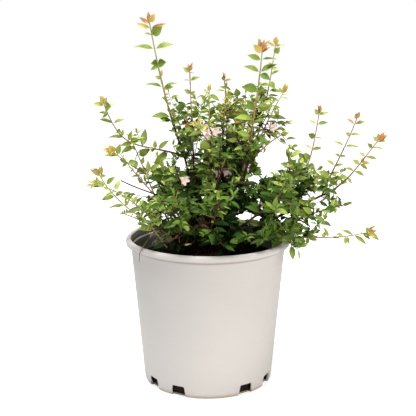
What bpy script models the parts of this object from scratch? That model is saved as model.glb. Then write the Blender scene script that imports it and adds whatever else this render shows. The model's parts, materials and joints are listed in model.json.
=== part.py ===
"""A young beautybush in a nursery pot.

A moulded pot filled with potting mix carries a woody crown.  Limbs rise and arch out of the crown, and
masses of opposite leaves grow on from the limbs.  Metres, +Z up.  The origin is the centre of the pot's
flat underside, +X is the side that the shrub leans to, and -Y is the front.
"""
import math
import random
from collections import namedtuple

import bmesh
import bpy
from mathutils import Matrix, Vector
from mathutils.bvhtree import BVHTree

# Driving dimensions of the pot, a number three nursery pot
POT_HEIGHT = 0.246
POT_RIM_RADIUS = 0.137
POT_RIM_DEPTH = 0.011
POT_WALL = 0.002
POT_FLOOR = 0.0025
POT_FOOT_RADIUS = 0.1055
POT_SHOULDER_RADIUS = 0.129
POT_CORNER = 0.005
POT_LEDGE_DROP = 0.015
POT_LEDGE_DEPTH = 0.0012
POT_STEPS = 36
NOTCH_WIDTH = 0.0285
NOTCH_HEIGHT = 0.019
NOTCH_TAPER = 0.76
NOTCH_DEPTH = 0.024
NOTCH_INSET = 0.005
NOTCH_PAIR_ANGLE = 29.0
NOTCH_QUARTERS = 4
NOTCH_TURN = -41.0

# Driving dimensions of the potting mix and of the woody crown that stands on it
GAP = 0.0003
SOIL_TOP = 0.212
SOIL_EDGE_DROP = 0.005
SOIL_FLAT_RADIUS = 0.040
CROWN_X = 0.004
CROWN_RADIUS = 0.022
CROWN_FLARE = 0.006
CROWN_STEPS = 16

# Driving dimensions of the shrub
LIMB_FOOT_RADIUS = 0.0031
LIMB_TIP_RADIUS = 0.0017
LIMB_POINTS = 6
STEM_FOOT_RADIUS = 0.0015
STEM_TIP_RADIUS = 0.0008
STEM_POINT_EVERY = 0.048
TWIG_FOOT_RADIUS = 0.0009
TWIG_TIP_RADIUS = 0.0007
HANDLE_SHARE = 0.36
PATH_STEPS = 40
LEAF_SHAPE = 0.54
LEAF_SHOULDER = 0.42
LEAF_CUP = 0.03
LEAF_NECK = 0.0005
LEAF_CLEARANCE = 0.0008
LEAF_SIZES = (0.86, 1.08)
LEAF_FACES_UP = 0.8
STEM_LEAF_TILT = 0.22
STEM_LEAF_RISE = 0.3
TWIG_LEAF_TILT = 0.35
TIP_BUD = 0.0015
TIP_LEAF_TILT = 1.05
TIP_LEAF_SIZE = 0.62
TILT_SPREAD = 0.18
TURN_SPREAD = 0.35
FIRST_NODE = 0.012
STEM_LEAF_SIZES = (1.1, 0.9)
YOUNG_FROM = 0.7
YOUNG_LEAF_SIZE = 0.7
NODE_SHORTENING = 0.25
NODE_SPREAD = (0.88, 1.1)
TWIG_REACHES = (0.034, 0.058)
TWIG_SHORTENING = 0.45
TWIG_LEAN = 0.65
TWIG_SPREAD = 0.75
TWIG_LIFT = 0.5
TWIG_CHANCE = 0.8
TWIGS_UP_TO = 0.75
TWIG_LEAF_SIZE = 0.86
TWIG_NODE = 0.8
TWIG_ROOM = 0.012
SOIL_CLEARANCE = 0.002
QUARTER_TURN = math.radians(90.0)

# A limb leaves the crown at foot_turn and foot_rise, and ends at turn, reach and top, climbing at end_rise.
# Turns are degrees from +X towards +Y, rises are degrees above level, reach is from the pot's axis.
Limb = namedtuple("Limb", "name foot_turn foot_rise turn reach top end_rise")
LIMBS = (
    Limb("limb_tall_left", 172, 64, 180, 0.043, 0.392, 70),
    Limb("limb_top_left", 228, 64, 205, 0.016, 0.272, 82),
    Limb("limb_top_mid", 76, 64, 58, 0.040, 0.300, 78),
    Limb("limb_tall_right", 318, 52, 328, 0.075, 0.385, 82),
    Limb("limb_tall_back", 30, 60, 26, 0.050, 0.296, 66),
    Limb("limb_left_back", 155, 34, 154, 0.052, 0.262, 42),
    Limb("limb_left_mid", 201, 50, 195, 0.056, 0.318, 44),
    Limb("limb_left_low", 217, 30, 222, 0.062, 0.254, 26),
    Limb("limb_front_left", 243, 32, 246, 0.050, 0.254, 42),
    Limb("limb_front", 270, 32, 272, 0.048, 0.252, 44),
    Limb("limb_front_right", 297, 32, 304, 0.054, 0.252, 40),
    Limb("limb_right_low", 322, 30, 338, 0.070, 0.252, 6),
    Limb("limb_right_reach", 346, 34, 357, 0.195, 0.320, 26),
    Limb("limb_right_up", 12, 40, 8, 0.082, 0.278, 34),
    Limb("limb_back_right", 50, 32, 48, 0.060, 0.264, 42),
    Limb("limb_back", 88, 32, 88, 0.050, 0.260, 44),
    Limb("limb_back_left", 122, 32, 120, 0.052, 0.260, 44),
)

# A mass grows from its limb at share of the limb's length, or on from its tip at share 1, and reaches its
# highest or furthest tip at turn, reach and top.  fork is the angle in degrees at which it leaves the limb,
# sweep is how far it keeps to its first and last direction, as a share of the way.  leaf is the length of a
# full leaf, node the distance between leaf pairs, twigs the most side twigs.
Mass = namedtuple("Mass", "name limb share turn reach top fork end_rise sweep leaf node twigs")
MASSES = (
    Mass("mass_tall_left", "limb_tall_left", 1, 180, 0.093, 0.595, 0, 80, 0.36, 0.036, 0.046, 0),
    Mass("mass_left_arch", "limb_tall_left", 0.93, 190, 0.168, 0.468, 55, 70, 0.55, 0.030, 0.035, 2),
    Mass("mass_top_left", "limb_top_left", 1, 146, 0.036, 0.517, 0, 87, 0.36, 0.027, 0.037, 3),
    Mass("mass_top_centre", "limb_top_left", 0.72, 272, 0.050, 0.491, 36, 84, 0.36, 0.029, 0.037, 3),
    Mass("mass_top_mid", "limb_top_mid", 1, 62, 0.058, 0.501, 0, 104, 0.40, 0.029, 0.035, 3),
    Mass("mass_top_front", "limb_top_mid", 0.70, 332, 0.032, 0.478, 34, 86, 0.36, 0.027, 0.035, 2),
    Mass("mass_tall_right", "limb_tall_right", 1, 330, 0.097, 0.553, 0, 85, 0.36, 0.036, 0.046, 2),
    Mass("mass_top_right", "limb_tall_right", 0.62, 9, 0.062, 0.481, 30, 88, 0.36, 0.029, 0.035, 3),
    Mass("mass_thin_right", "limb_tall_right", 0.95, 342, 0.124, 0.421, 45, 28, 0.36, 0.027, 0.041, 1),
    Mass("mass_tall_back", "limb_tall_back", 1, 28, 0.127, 0.558, 0, 82, 0.36, 0.031, 0.043, 3),
    Mass("mass_back_spur", "limb_tall_back", 0.80, 17, 0.131, 0.481, 34, 56, 0.36, 0.029, 0.039, 2),
    Mass("mass_left_mid", "limb_left_mid", 1, 200, 0.157, 0.394, 0, 42, 0.36, 0.031, 0.035, 2),
    Mass("mass_left_fork", "limb_left_low", 0.86, 183, 0.126, 0.410, 28, 66, 0.44, 0.027, 0.035, 2),
    Mass("mass_left_low", "limb_left_low", 1, 210, 0.193, 0.366, 0, 62, 0.36, 0.031, 0.035, 2),
    Mass("mass_left_spray", "limb_left_low", 0.58, 215, 0.214, 0.357, 22, 14, 0.36, 0.027, 0.041, 1),
    Mass("mass_left_skirt", "limb_left_low", 0.34, 192, 0.140, 0.290, 30, 24, 0.36, 0.029, 0.032, 2),
    Mass("mass_left_back", "limb_left_back", 1, 150, 0.178, 0.372, 0, 48, 0.36, 0.032, 0.034, 2),
    Mass("mass_inner_left", "limb_left_back", 0.62, 176, 0.092, 0.352, 40, 66, 0.36, 0.031, 0.033, 3),
    Mass("mass_back_left", "limb_back_left", 1, 118, 0.200, 0.352, 0, 44, 0.36, 0.033, 0.034, 2),
    Mass("mass_back_left_up", "limb_back_left", 0.66, 112, 0.100, 0.424, 40, 72, 0.36, 0.032, 0.035, 3),
    Mass("mass_back", "limb_back", 1, 92, 0.204, 0.362, 0, 40, 0.36, 0.033, 0.034, 2),
    Mass("mass_back_up", "limb_back", 0.66, 76, 0.112, 0.440, 40, 76, 0.36, 0.032, 0.035, 2),
    Mass("mass_back_right", "limb_back_right", 1, 50, 0.204, 0.302, 0, 22, 0.36, 0.033, 0.034, 2),
    Mass("mass_back_right_up", "limb_back_right", 0.62, 58, 0.118, 0.380, 36, 64, 0.36, 0.031, 0.033, 3),
    Mass("mass_right_up", "limb_right_up", 1, 6, 0.184, 0.449, 0, 82, 0.52, 0.027, 0.035, 3),
    Mass("mass_right_back", "limb_right_up", 0.74, 22, 0.206, 0.346, 34, 38, 0.36, 0.031, 0.034, 2),
    Mass("mass_right_far", "limb_right_reach", 0.96, 0, 0.242, 0.442, 44, 72, 0.36, 0.027, 0.035, 3),
    Mass("mass_right_reach", "limb_right_reach", 1, 350, 0.274, 0.413, 0, 52, 0.32, 0.029, 0.035, 2),
    Mass("mass_right_inner", "limb_right_reach", 0.50, 356, 0.134, 0.380, 50, 84, 0.36, 0.029, 0.034, 3),
    Mass("mass_right_mid", "limb_right_reach", 0.30, 344, 0.226, 0.312, 34, 14, 0.36, 0.030, 0.033, 3),
    Mass("mass_right_low", "limb_right_low", 1, 343, 0.259, 0.271, 0, 18, 0.36, 0.030, 0.037, 1),
    Mass("mass_right_skirt", "limb_right_low", 0.62, 326, 0.158, 0.276, 38, 4, 0.36, 0.030, 0.032, 3),
    Mass("mass_front_right", "limb_front_right", 1, 312, 0.178, 0.352, 0, 46, 0.36, 0.031, 0.033, 3),
    Mass("mass_front_right_up", "limb_front_right", 0.66, 322, 0.098, 0.402, 40, 74, 0.36, 0.031, 0.034, 3),
    Mass("mass_front_right_low", "limb_front_right", 0.42, 316, 0.160, 0.264, 30, -4, 0.36, 0.030, 0.033, 3),
    Mass("mass_front", "limb_front", 1, 276, 0.158, 0.342, 0, 52, 0.36, 0.031, 0.033, 3),
    Mass("mass_front_up", "limb_front", 0.66, 284, 0.080, 0.410, 40, 76, 0.36, 0.031, 0.034, 3),
    Mass("mass_front_left", "limb_front_left", 1, 244, 0.160, 0.336, 0, 48, 0.36, 0.031, 0.033, 3),
    Mass("mass_front_left_up", "limb_front_left", 0.66, 232, 0.088, 0.388, 40, 72, 0.36, 0.031, 0.034, 3),
)

# Bare dead twigs, in the same terms as the masses
DeadTwig = namedtuple("DeadTwig", "name limb share turn reach top fork end_rise sweep")
DEAD_TWIGS = (
    DeadTwig("dead_twig_left", "limb_left_mid", 0.74, 209, 0.156, 0.354, 34, 30, 0.36),
)

# Blossom: the mass that bears it, the share of its stem, and the number of blooms in the cluster
BLOSSOM = (
    ("mass_top_centre", 0.70, 3),
    ("mass_top_front", 0.73, 2),
    ("mass_back_spur", 0.73, 2),
    ("mass_top_right", 0.32, 2),
    ("mass_front_up", 0.84, 1),
    ("mass_front_left_up", 0.67, 2),
)
BLOOM_LENGTH = 0.014
BLOOM_MOUTH = 0.0068
BLOOM_THROAT = 0.0012
BLOOM_SIDES = 4
BLOOM_ROOM = 1.2
BLOOM_STEP = 0.003
BLOOM_LEAN = 0.45
BLOOM_TO_FRONT = 0.55

COLLECTION_NAME = "potted_beautybush"


def clear_scene():
    for old in list(bpy.data.objects):
        bpy.data.objects.remove(old, do_unlink=True)


def new_collection(name):
    collection = bpy.data.collections.new(name)
    bpy.context.scene.collection.children.link(collection)
    return collection


def make_material(name, colour, roughness):
    material = bpy.data.materials.new(name)
    material.use_nodes = True
    shader = material.node_tree.nodes["Principled BSDF"]
    shader.inputs["Base Color"].default_value = (*colour, 1.0)
    shader.inputs["Roughness"].default_value = roughness
    shader.inputs["Metallic"].default_value = 0.0
    return material


clear_scene()
PARTS = new_collection(COLLECTION_NAME)
CUTTERS = new_collection("cutters")
GUIDES = new_collection("guides")
PLASTIC = make_material("pot_plastic", (0.72, 0.69, 0.66), 0.45)
MIX = make_material("potting_mix", (0.035, 0.024, 0.017), 0.95)
BARK = make_material("bark", (0.16, 0.085, 0.05), 0.85)
LEAF = make_material("leaf", (0.10, 0.22, 0.035), 0.55)
DEAD_WOOD = make_material("dead_wood", (0.07, 0.045, 0.035), 0.9)


def add_part(name, data, material, parent=None, location=(0.0, 0.0, 0.0)):
    part = bpy.data.objects.new(name, data)
    PARTS.objects.link(part)
    data.materials.clear()
    data.materials.append(material)
    part.parent = parent
    part.location = location
    return part


def make_empty(name, location):
    empty = bpy.data.objects.new(name, None)
    PARTS.objects.link(empty)
    empty.location = location
    return empty


# Turned shapes

def turned_mesh(name, profile):
    """A profile line of (radius, height) in the XZ plane, ready to be turned about Z."""
    shape = bmesh.new()
    points = [shape.verts.new((radius, 0.0, height)) for radius, height in profile]
    for start, end in zip(points, points[1:]):
        shape.edges.new((start, end))
    mesh = bpy.data.meshes.new(name)
    shape.to_mesh(mesh)
    shape.free()
    return mesh


def turn_about_z(part, steps):
    turn = part.modifiers.new("turn", "SCREW")
    turn.steps = steps
    turn.render_steps = steps
    turn.use_merge_vertices = True
    turn.merge_threshold = 0.00001


def wall_radius(height):
    """The pot's outer radius at a height on its straight side."""
    corner_radius = POT_FOOT_RADIUS + 0.6 * POT_CORNER
    shoulder = POT_HEIGHT - POT_RIM_DEPTH
    climb = (height - POT_CORNER) / (shoulder - POT_CORNER)
    return corner_radius + climb * (POT_SHOULDER_RADIUS - corner_radius)


def pot_profile():
    """From the middle of the floor out, up the inside, over the rolled rim and down the outside."""
    shoulder = POT_HEIGHT - POT_RIM_DEPTH
    ledge = POT_HEIGHT - POT_LEDGE_DROP
    inside_ledge = wall_radius(ledge) - POT_WALL
    roll = POT_RIM_RADIUS - POT_SHOULDER_RADIUS
    return (
        (0.0, POT_FLOOR),
        (wall_radius(POT_FLOOR) - POT_WALL, POT_FLOOR),
        (inside_ledge - POT_LEDGE_DEPTH, ledge),
        (inside_ledge, ledge + POT_LEDGE_DEPTH),
        (POT_SHOULDER_RADIUS - 0.2 * roll, POT_HEIGHT - 0.2 * roll),
        (POT_SHOULDER_RADIUS + 0.15 * roll, POT_HEIGHT),
        (POT_RIM_RADIUS - 0.35 * roll, POT_HEIGHT - 0.03 * roll),
        (POT_RIM_RADIUS, POT_HEIGHT - 0.65 * roll),
        (POT_RIM_RADIUS, shoulder + 0.25 * roll),
        (POT_RIM_RADIUS - 0.18 * roll, shoulder),
        (POT_SHOULDER_RADIUS, shoulder),
        (wall_radius(POT_CORNER), POT_CORNER),
        (POT_FOOT_RADIUS + 0.15 * POT_CORNER, 0.25 * POT_CORNER),
        (POT_FOOT_RADIUS, 0.0),
        (0.0, 0.0),
    )


def notch_cutter(name, turn):
    """A block through the foot of the wall and the edge of the floor, open below and narrower at its top."""
    block = bmesh.new()
    bmesh.ops.create_cube(block, size=1.0)
    for corner in block.verts:
        at_top = corner.co.z > 0.0
        width = NOTCH_WIDTH * (NOTCH_TAPER if at_top else 1.0)
        height = NOTCH_HEIGHT if at_top else -POT_FLOOR
        corner.co = ((corner.co.x + 0.5) * NOTCH_DEPTH, corner.co.y * width, height)
    mesh = bpy.data.meshes.new(name)
    block.to_mesh(mesh)
    block.free()
    cutter = bpy.data.objects.new(name, mesh)
    CUTTERS.objects.link(cutter)
    angle = math.radians(turn)
    inner_edge = POT_FOOT_RADIUS - NOTCH_INSET
    cutter.location = (inner_edge * math.cos(angle), inner_edge * math.sin(angle), 0.0)
    cutter.rotation_euler = (0.0, 0.0, angle)
    cutter.hide_render = True
    cutter.display_type = "WIRE"


def make_pot():
    pot = add_part("pot", turned_mesh("pot", pot_profile()), PLASTIC)
    turn_about_z(pot, POT_STEPS)
    for quarter in range(NOTCH_QUARTERS):
        for side in (-0.5, 0.5):
            turn = NOTCH_TURN + 90.0 * quarter + side * NOTCH_PAIR_ANGLE
            notch_cutter(f"notch_cutter_{quarter}_{'a' if side < 0 else 'b'}", turn)
    notches = pot.modifiers.new("drain_notches", "BOOLEAN")
    notches.operation = "DIFFERENCE"
    notches.operand_type = "COLLECTION"
    notches.collection = CUTTERS
    return pot


def make_soil():
    """Potting mix that fills the pot to a few fingers below the rim, highest round the crown."""
    edge_height = SOIL_TOP - SOIL_EDGE_DROP
    floor = POT_FLOOR + GAP
    profile = (
        (0.0, SOIL_TOP),
        (SOIL_FLAT_RADIUS, SOIL_TOP),
        (0.6 * wall_radius(edge_height), SOIL_TOP - 0.4 * SOIL_EDGE_DROP),
        (wall_radius(edge_height) - POT_WALL - GAP - POT_LEDGE_DEPTH, edge_height),
        (wall_radius(floor) - POT_WALL - GAP - POT_LEDGE_DEPTH, floor),
        (0.0, floor),
    )
    soil = add_part("potting_mix", turned_mesh("potting_mix", profile), MIX)
    turn_about_z(soil, POT_STEPS)
    return soil


def make_crown(parent):
    """The woody crown: a dome that flares to its flat cut on the potting mix."""
    profile = [(0.0, CROWN_RADIUS)]
    for rise in (72, 54, 36, 20):
        angle = math.radians(rise)
        profile.append((CROWN_RADIUS * math.cos(angle), CROWN_RADIUS * math.sin(angle)))
    profile.append((CROWN_RADIUS + 0.2 * CROWN_FLARE, 0.5 * CROWN_FLARE))
    profile.append((CROWN_RADIUS + CROWN_FLARE, 0.0))
    profile.append((0.0, 0.0))
    crown = add_part("root_crown", turned_mesh("root_crown", profile), BARK, parent)
    turn_about_z(crown, CROWN_STEPS)
    return crown


# Paths

def direction(turn, rise):
    """A unit vector from degrees of turn about Z and degrees above level."""
    across = math.cos(math.radians(rise))
    return Vector((
        across * math.cos(math.radians(turn)),
        across * math.sin(math.radians(turn)),
        math.sin(math.radians(rise)),
    ))


def place(turn, reach, top):
    """The point at a turn and reach from the pot's axis and at a height."""
    angle = math.radians(turn)
    return Vector((reach * math.cos(angle), reach * math.sin(angle), top))


def arch(start, start_direction, end, end_direction, sweep=HANDLE_SHARE):
    """Evenly numbered points on the cubic arc that leaves start and arrives at end as directed."""
    handle = sweep * (end - start).length
    first = start + handle * start_direction
    second = end - handle * end_direction
    points = []
    for step in range(PATH_STEPS + 1):
        t = step / PATH_STEPS
        u = 1.0 - t
        points.append(u**3 * start + 3 * u * u * t * first + 3 * u * t * t * second + t**3 * end)
    return points


def path_length(path):
    return sum((b - a).length for a, b in zip(path, path[1:]))


def along(path, distance):
    """The point and the direction at a distance along a path."""
    left = distance
    for a, b in zip(path, path[1:]):
        step = (b - a).length
        if left <= step:
            return a + (b - a) * (left / step), (b - a) / step
        left -= step
    return path[-1].copy(), (path[-1] - path[-2]).normalized()


# Tapering limbs and twigs

def limb_curve(name, points, foot_radius, tip_radius):
    """A tapering round tube as a curve, about six sided."""
    curve = bpy.data.curves.new(name, "CURVE")
    curve.dimensions = "3D"
    curve.bevel_depth = foot_radius
    curve.bevel_resolution = 1
    curve.use_fill_caps = True
    line = curve.splines.new("POLY")
    line.points.add(len(points) - 1)
    last = len(points) - 1
    for index, point in enumerate(points):
        share = index / last
        line.points[index].co = (*point, 1.0)
        line.points[index].radius = 1.0 + share * (tip_radius / foot_radius - 1.0)
    return curve


def three_sided_outline():
    """The closed outline of a three-sided twig of unit radius."""
    curve = bpy.data.curves.new("twig_outline", "CURVE")
    curve.dimensions = "2D"
    line = curve.splines.new("POLY")
    line.points.add(2)
    for index in range(3):
        angle = math.radians(90.0 + 120.0 * index)
        line.points[index].co = (math.cos(angle), math.sin(angle), 0.0, 1.0)
    line.use_cyclic_u = True
    outline = bpy.data.objects.new("twig_outline", curve)
    GUIDES.objects.link(outline)
    outline.hide_render = True
    outline.display_type = "WIRE"
    return outline


def twig_mesh(name, points, foot_radius, tip_radius, outline):
    """A tapering three-sided twig as a closed mesh."""
    curve = limb_curve(name, points, foot_radius, tip_radius)
    curve.bevel_mode = "OBJECT"
    curve.bevel_object = outline
    for point in curve.splines[0].points:
        point.radius *= foot_radius
    guide = bpy.data.objects.new(name, curve)
    GUIDES.objects.link(guide)
    mesh = bpy.data.meshes.new_from_object(guide.evaluated_get(bpy.context.evaluated_depsgraph_get()))
    bpy.data.objects.remove(guide, do_unlink=True)
    close_mesh(mesh)
    return mesh


def close_mesh(mesh):
    """Weld the loose caps of a tube and turn every face outwards."""
    shape = bmesh.new()
    shape.from_mesh(mesh)
    bmesh.ops.remove_doubles(shape, verts=shape.verts, dist=0.00001)
    bmesh.ops.recalc_face_normals(shape, faces=shape.faces)
    shape.to_mesh(mesh)
    shape.free()


def spaced(path, spacing):
    """Points at about equal distances along a path, its ends included."""
    length = path_length(path)
    spans = max(2, round(length / spacing))
    return [along(path, length * index / spans)[0] for index in range(spans + 1)]


# Leaves and blooms

def leaf_shape(length, width, stem_radius, margin=0.0):
    """A leaf along +X with its face up: eight faces, a neck sunk past the middle of its twig."""
    shape = bmesh.new()
    bmesh.ops.create_uvsphere(shape, u_segments=4, v_segments=2, radius=1.0)
    neck = LEAF_NECK + margin
    shoulder = LEAF_SHOULDER * length
    for vert in shape.verts:
        x, y, z = vert.co
        if x > 0.5:
            vert.co = (length + margin, 0.0, -LEAF_CUP * length)
        elif x < -0.5:
            vert.co = (-0.3 * stem_radius, 0.0, 0.0)
        elif abs(y) > 0.5:
            vert.co = (shoulder, math.copysign(0.5 * width + margin, y), LEAF_CUP * length)
        else:
            vert.co = (1.3 * stem_radius, 0.0, math.copysign(neck, z))
    bmesh.ops.recalc_face_normals(shape, faces=shape.faces)
    return shape


def bloom_shape():
    """A bell along +X, narrow end sunk in its twig."""
    shape = bmesh.new()
    bmesh.ops.create_cone(
        shape, cap_ends=True, segments=BLOOM_SIDES,
        radius1=BLOOM_THROAT, radius2=BLOOM_MOUTH, depth=BLOOM_LENGTH,
    )
    shape.transform(Matrix.Translation((0.0, 0.0, 0.5 * BLOOM_LENGTH - GAP)))
    shape.transform(Matrix.Rotation(QUARTER_TURN, 4, "Y"))
    return shape


def frame_at(point, outward, face_up):
    """The place of a leaf at a point, pointing outward, its face turned up."""
    forward = outward.normalized()
    side = face_up.cross(forward).normalized()
    up = forward.cross(side)
    frame = Matrix((forward, side, up)).transposed().to_4x4()
    frame.translation = point
    return frame


def outward_from(tangent, angle):
    """The unit vector square to a stem at an angle round it, measured from its upper side."""
    level = Vector((0.0, 0.0, 1.0)).cross(tangent)
    if level.length < 0.05:
        level = Vector((0.0, 1.0, 0.0))
    level.normalize()
    upper = tangent.cross(level)
    return math.cos(angle) * upper + math.sin(angle) * level


# The space that each mass keeps to

class Neighbours:
    """Everything solid that a leaf or twig of one mass has to stay clear of."""

    def __init__(self):
        self.trees = []
        self.axes = {}

    def add(self, owner, mesh):
        corners = [vertex.co.copy() for vertex in mesh.vertices]
        faces = [tuple(face.vertices) for face in mesh.polygons]
        self.trees.append((owner, BVHTree.FromPolygons(corners, faces)))

    def add_shape(self, owner, shape):
        self.trees.append((owner, BVHTree.FromBMesh(shape)))

    def touches(self, owner, shape):
        tree = BVHTree.FromBMesh(shape)
        for other, solid in self.trees:
            if other != owner and solid.overlap(tree):
                return True
        return False

    def distance_to(self, point, owner, own):
        """How near a point comes to the owner's own twigs, or else to those of every other mass."""
        nearest = 1.0
        for name, paths in self.axes.items():
            if (name == owner) == own:
                for path in paths:
                    nearest = min(nearest, min((point - step).length for step in path[::2]))
        return nearest


def above_the_mix(shape):
    """True for a leaf that stays over the potting mix, or hangs just outside the rim."""
    for vert in shape.verts:
        reach = math.hypot(vert.co.x, vert.co.y)
        floor = SOIL_TOP + SOIL_CLEARANCE if reach < POT_RIM_RADIUS else POT_HEIGHT - 3 * POT_RIM_DEPTH
        if vert.co.z < floor:
            return False
    return True


# One mass of foliage

class Shoot:
    """The stem of one mass with the twigs, leaves and blooms that are fused to it."""

    def __init__(self, mass, path, outline, neighbours):
        self.mass = mass
        self.path = path
        self.outline = outline
        self.neighbours = neighbours
        self.random = random.Random(mass.name)
        self.pieces = []
        self.own_trees = []
        self.twigs = 0

    def radius_at(self, share):
        return STEM_FOOT_RADIUS + share * (STEM_TIP_RADIUS - STEM_FOOT_RADIUS)

    def leaf_size_at(self, share):
        """Full leaves low on the stem, and young ones that grow shorter over its last part."""
        low, high = STEM_LEAF_SIZES
        young = max(0.0, share - YOUNG_FROM) / (1.0 - YOUNG_FROM)
        return self.mass.leaf * (low + share * (high - low) - (1.0 - YOUNG_LEAF_SIZE) * young)

    def wants_twig(self, share):
        return self.twigs < self.mass.twigs and share < TWIGS_UP_TO and self.random.random() < TWIG_CHANCE

    def fits(self, shape, wide):
        """True for a leaf that touches nothing, also a little larger than life, and keeps to its space."""
        if not above_the_mix(wide):
            return False
        middle = sum((vert.co for vert in wide.verts), Vector()) / len(wide.verts)
        name = self.mass.name
        others = self.neighbours.distance_to(middle, name, False)
        if others < self.neighbours.distance_to(middle, name, True):
            return False
        if self.neighbours.touches(name, wide) or self.neighbours.touches(name, shape):
            return False
        tree = BVHTree.FromBMesh(wide)
        return not any(own.overlap(tree) for own in self.own_trees)

    def keep(self, shape, wide):
        self.own_trees.append(BVHTree.FromBMesh(shape))
        self.pieces.append(shape)
        wide.free()

    def leaf(self, point, tangent, angle, tilt, length, stem_radius):
        """One leaf at an angle round its twig, raised by tilt from square towards the tip."""
        side = outward_from(tangent, angle)
        outward = math.cos(tilt) * side + math.sin(tilt) * tangent
        face = math.cos(tilt) * tangent - math.sin(tilt) * side
        face = face + Vector((0.0, 0.0, LEAF_FACES_UP))
        if face.cross(outward).length < 0.1:
            face = tangent
        frame = frame_at(point, outward, face)
        width = LEAF_SHAPE * length
        shape = leaf_shape(length, width, stem_radius)
        shape.transform(frame)
        wide = leaf_shape(length, width, stem_radius, LEAF_CLEARANCE)
        wide.transform(Matrix.Translation(1.6 * stem_radius * outward) @ frame)
        if self.fits(shape, wide):
            self.keep(shape, wide)
            return True
        shape.free()
        wide.free()
        return False

    def pair(self, path, distance, angle, tilt, length, stem_radius, sides=(0.0, math.pi)):
        point, tangent = along(path, distance)
        for side in sides:
            wobble = self.random.uniform(-TURN_SPREAD, TURN_SPREAD)
            size = length * self.random.uniform(*LEAF_SIZES)
            lift = tilt + self.random.uniform(-TILT_SPREAD, TILT_SPREAD)
            self.leaf(point, tangent, angle + side + wobble, lift, size, stem_radius)

    def tip(self, path, length, stem_radius):
        """The last young leaves, standing almost upright round the bud."""
        total = path_length(path)
        turn = self.random.uniform(0.0, math.pi)
        self.pair(path, total - TIP_BUD, turn, TIP_LEAF_TILT, TIP_LEAF_SIZE * length, stem_radius)

    def twig_shape(self, path, foot_radius, margin):
        """A side twig, or with a margin the room that it needs."""
        mesh = twig_mesh(
            "twig", spaced(path, STEM_POINT_EVERY),
            foot_radius + margin, TWIG_TIP_RADIUS + margin, self.outline,
        )
        shape = bmesh.new()
        shape.from_mesh(mesh)
        bpy.data.meshes.remove(mesh)
        return shape

    def side_twig(self, distance, angle, share):
        """A short twig with its own pairs of leaves, or nothing where it has no room."""
        point, tangent = along(self.path, distance)
        side = outward_from(tangent, angle)
        start_direction = (TWIG_SPREAD * side + TWIG_LEAN * tangent).normalized()
        end_direction = (start_direction + Vector((0.0, 0.0, TWIG_LIFT))).normalized()
        reach = self.random.uniform(*TWIG_REACHES) * (1.1 - TWIG_SHORTENING * share)
        end = point + reach * (start_direction + end_direction).normalized()
        path = arch(point, start_direction, end, end_direction)
        foot = min(TWIG_FOOT_RADIUS, 0.7 * self.radius_at(share))
        shape = self.twig_shape(path, foot, 0.0)
        wide = self.twig_shape(path, foot, LEAF_CLEARANCE)
        if not self.has_room(path, wide):
            shape.free()
            wide.free()
            return False
        self.keep(shape, wide)
        self.neighbours.axes[self.mass.name].append(path)
        self.twigs += 1
        length = TWIG_LEAF_SIZE * self.mass.leaf
        node = TWIG_NODE * self.mass.node
        turn = angle
        distance = 0.75 * node
        total = path_length(path)
        while distance < total - 0.5 * node:
            turn += QUARTER_TURN
            self.pair(path, distance, turn, TWIG_LEAF_TILT, length, TWIG_TIP_RADIUS)
            distance += node
        self.tip(path, length, TWIG_TIP_RADIUS)
        return True

    def has_room(self, path, shape):
        """True for a twig that stays a leaf's width from every other mass, and touches nothing."""
        for point in (path[len(path) // 2], path[-1]):
            if self.neighbours.distance_to(point, self.mass.name, False) < TWIG_ROOM:
                return False
        return above_the_mix(shape) and not self.neighbours.touches(self.mass.name, shape)

    def bloom(self, share, count):
        """A cluster of bells round one place on the stem."""
        total = path_length(self.path)
        for index in range(count):
            point, tangent = along(self.path, share * total + BLOOM_STEP * index)
            turn = math.radians(180.0 + 360.0 * index / count) + self.random.uniform(-0.2, 0.2)
            side = outward_from(tangent, turn)
            outward = (side + BLOOM_LEAN * tangent - Vector((0.0, BLOOM_TO_FRONT, 0.0))).normalized()
            frame = frame_at(point, outward, tangent)
            shape = bloom_shape()
            shape.transform(frame)
            wide = bloom_shape()
            wide.transform(frame @ Matrix.Diagonal((1.0, BLOOM_ROOM, BLOOM_ROOM, 1.0)))
            if self.neighbours.touches(self.mass.name, wide):
                shape.free()
                wide.free()
            else:
                self.keep(shape, wide)

    def grow(self):
        """Pairs of leaves up the stem, each a quarter turn on, and side twigs from the lower nodes."""
        for name, share, count in BLOSSOM:
            if name == self.mass.name:
                self.bloom(share, count)
        total = path_length(self.path)
        angle = self.random.uniform(0.0, math.pi)
        distance = FIRST_NODE
        while distance < total - 0.35 * self.mass.node:
            share = distance / total
            size = self.leaf_size_at(share)
            tilt = STEM_LEAF_TILT + STEM_LEAF_RISE * share
            if self.wants_twig(share) and self.side_twig(distance, angle, share):
                self.pair(self.path, distance, angle, tilt, size, self.radius_at(share), (math.pi,))
            else:
                self.pair(self.path, distance, angle, tilt, size, self.radius_at(share))
            angle += QUARTER_TURN + self.random.choice((0.0, math.pi))
            distance += self.mass.node * self.random.uniform(*NODE_SPREAD) * (1.0 - NODE_SHORTENING * share)
        self.tip(self.path, self.mass.leaf, STEM_TIP_RADIUS)


def is_one_solid(mesh):
    """True for a closed mesh whose faces enclose a positive volume."""
    shape = bmesh.new()
    shape.from_mesh(mesh)
    closed = len(shape.faces) > 8 and all(edge.is_manifold for edge in shape.edges)
    volume = shape.calc_volume(signed=True) if closed else 0.0
    shape.free()
    return closed and volume > 0.0


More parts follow.
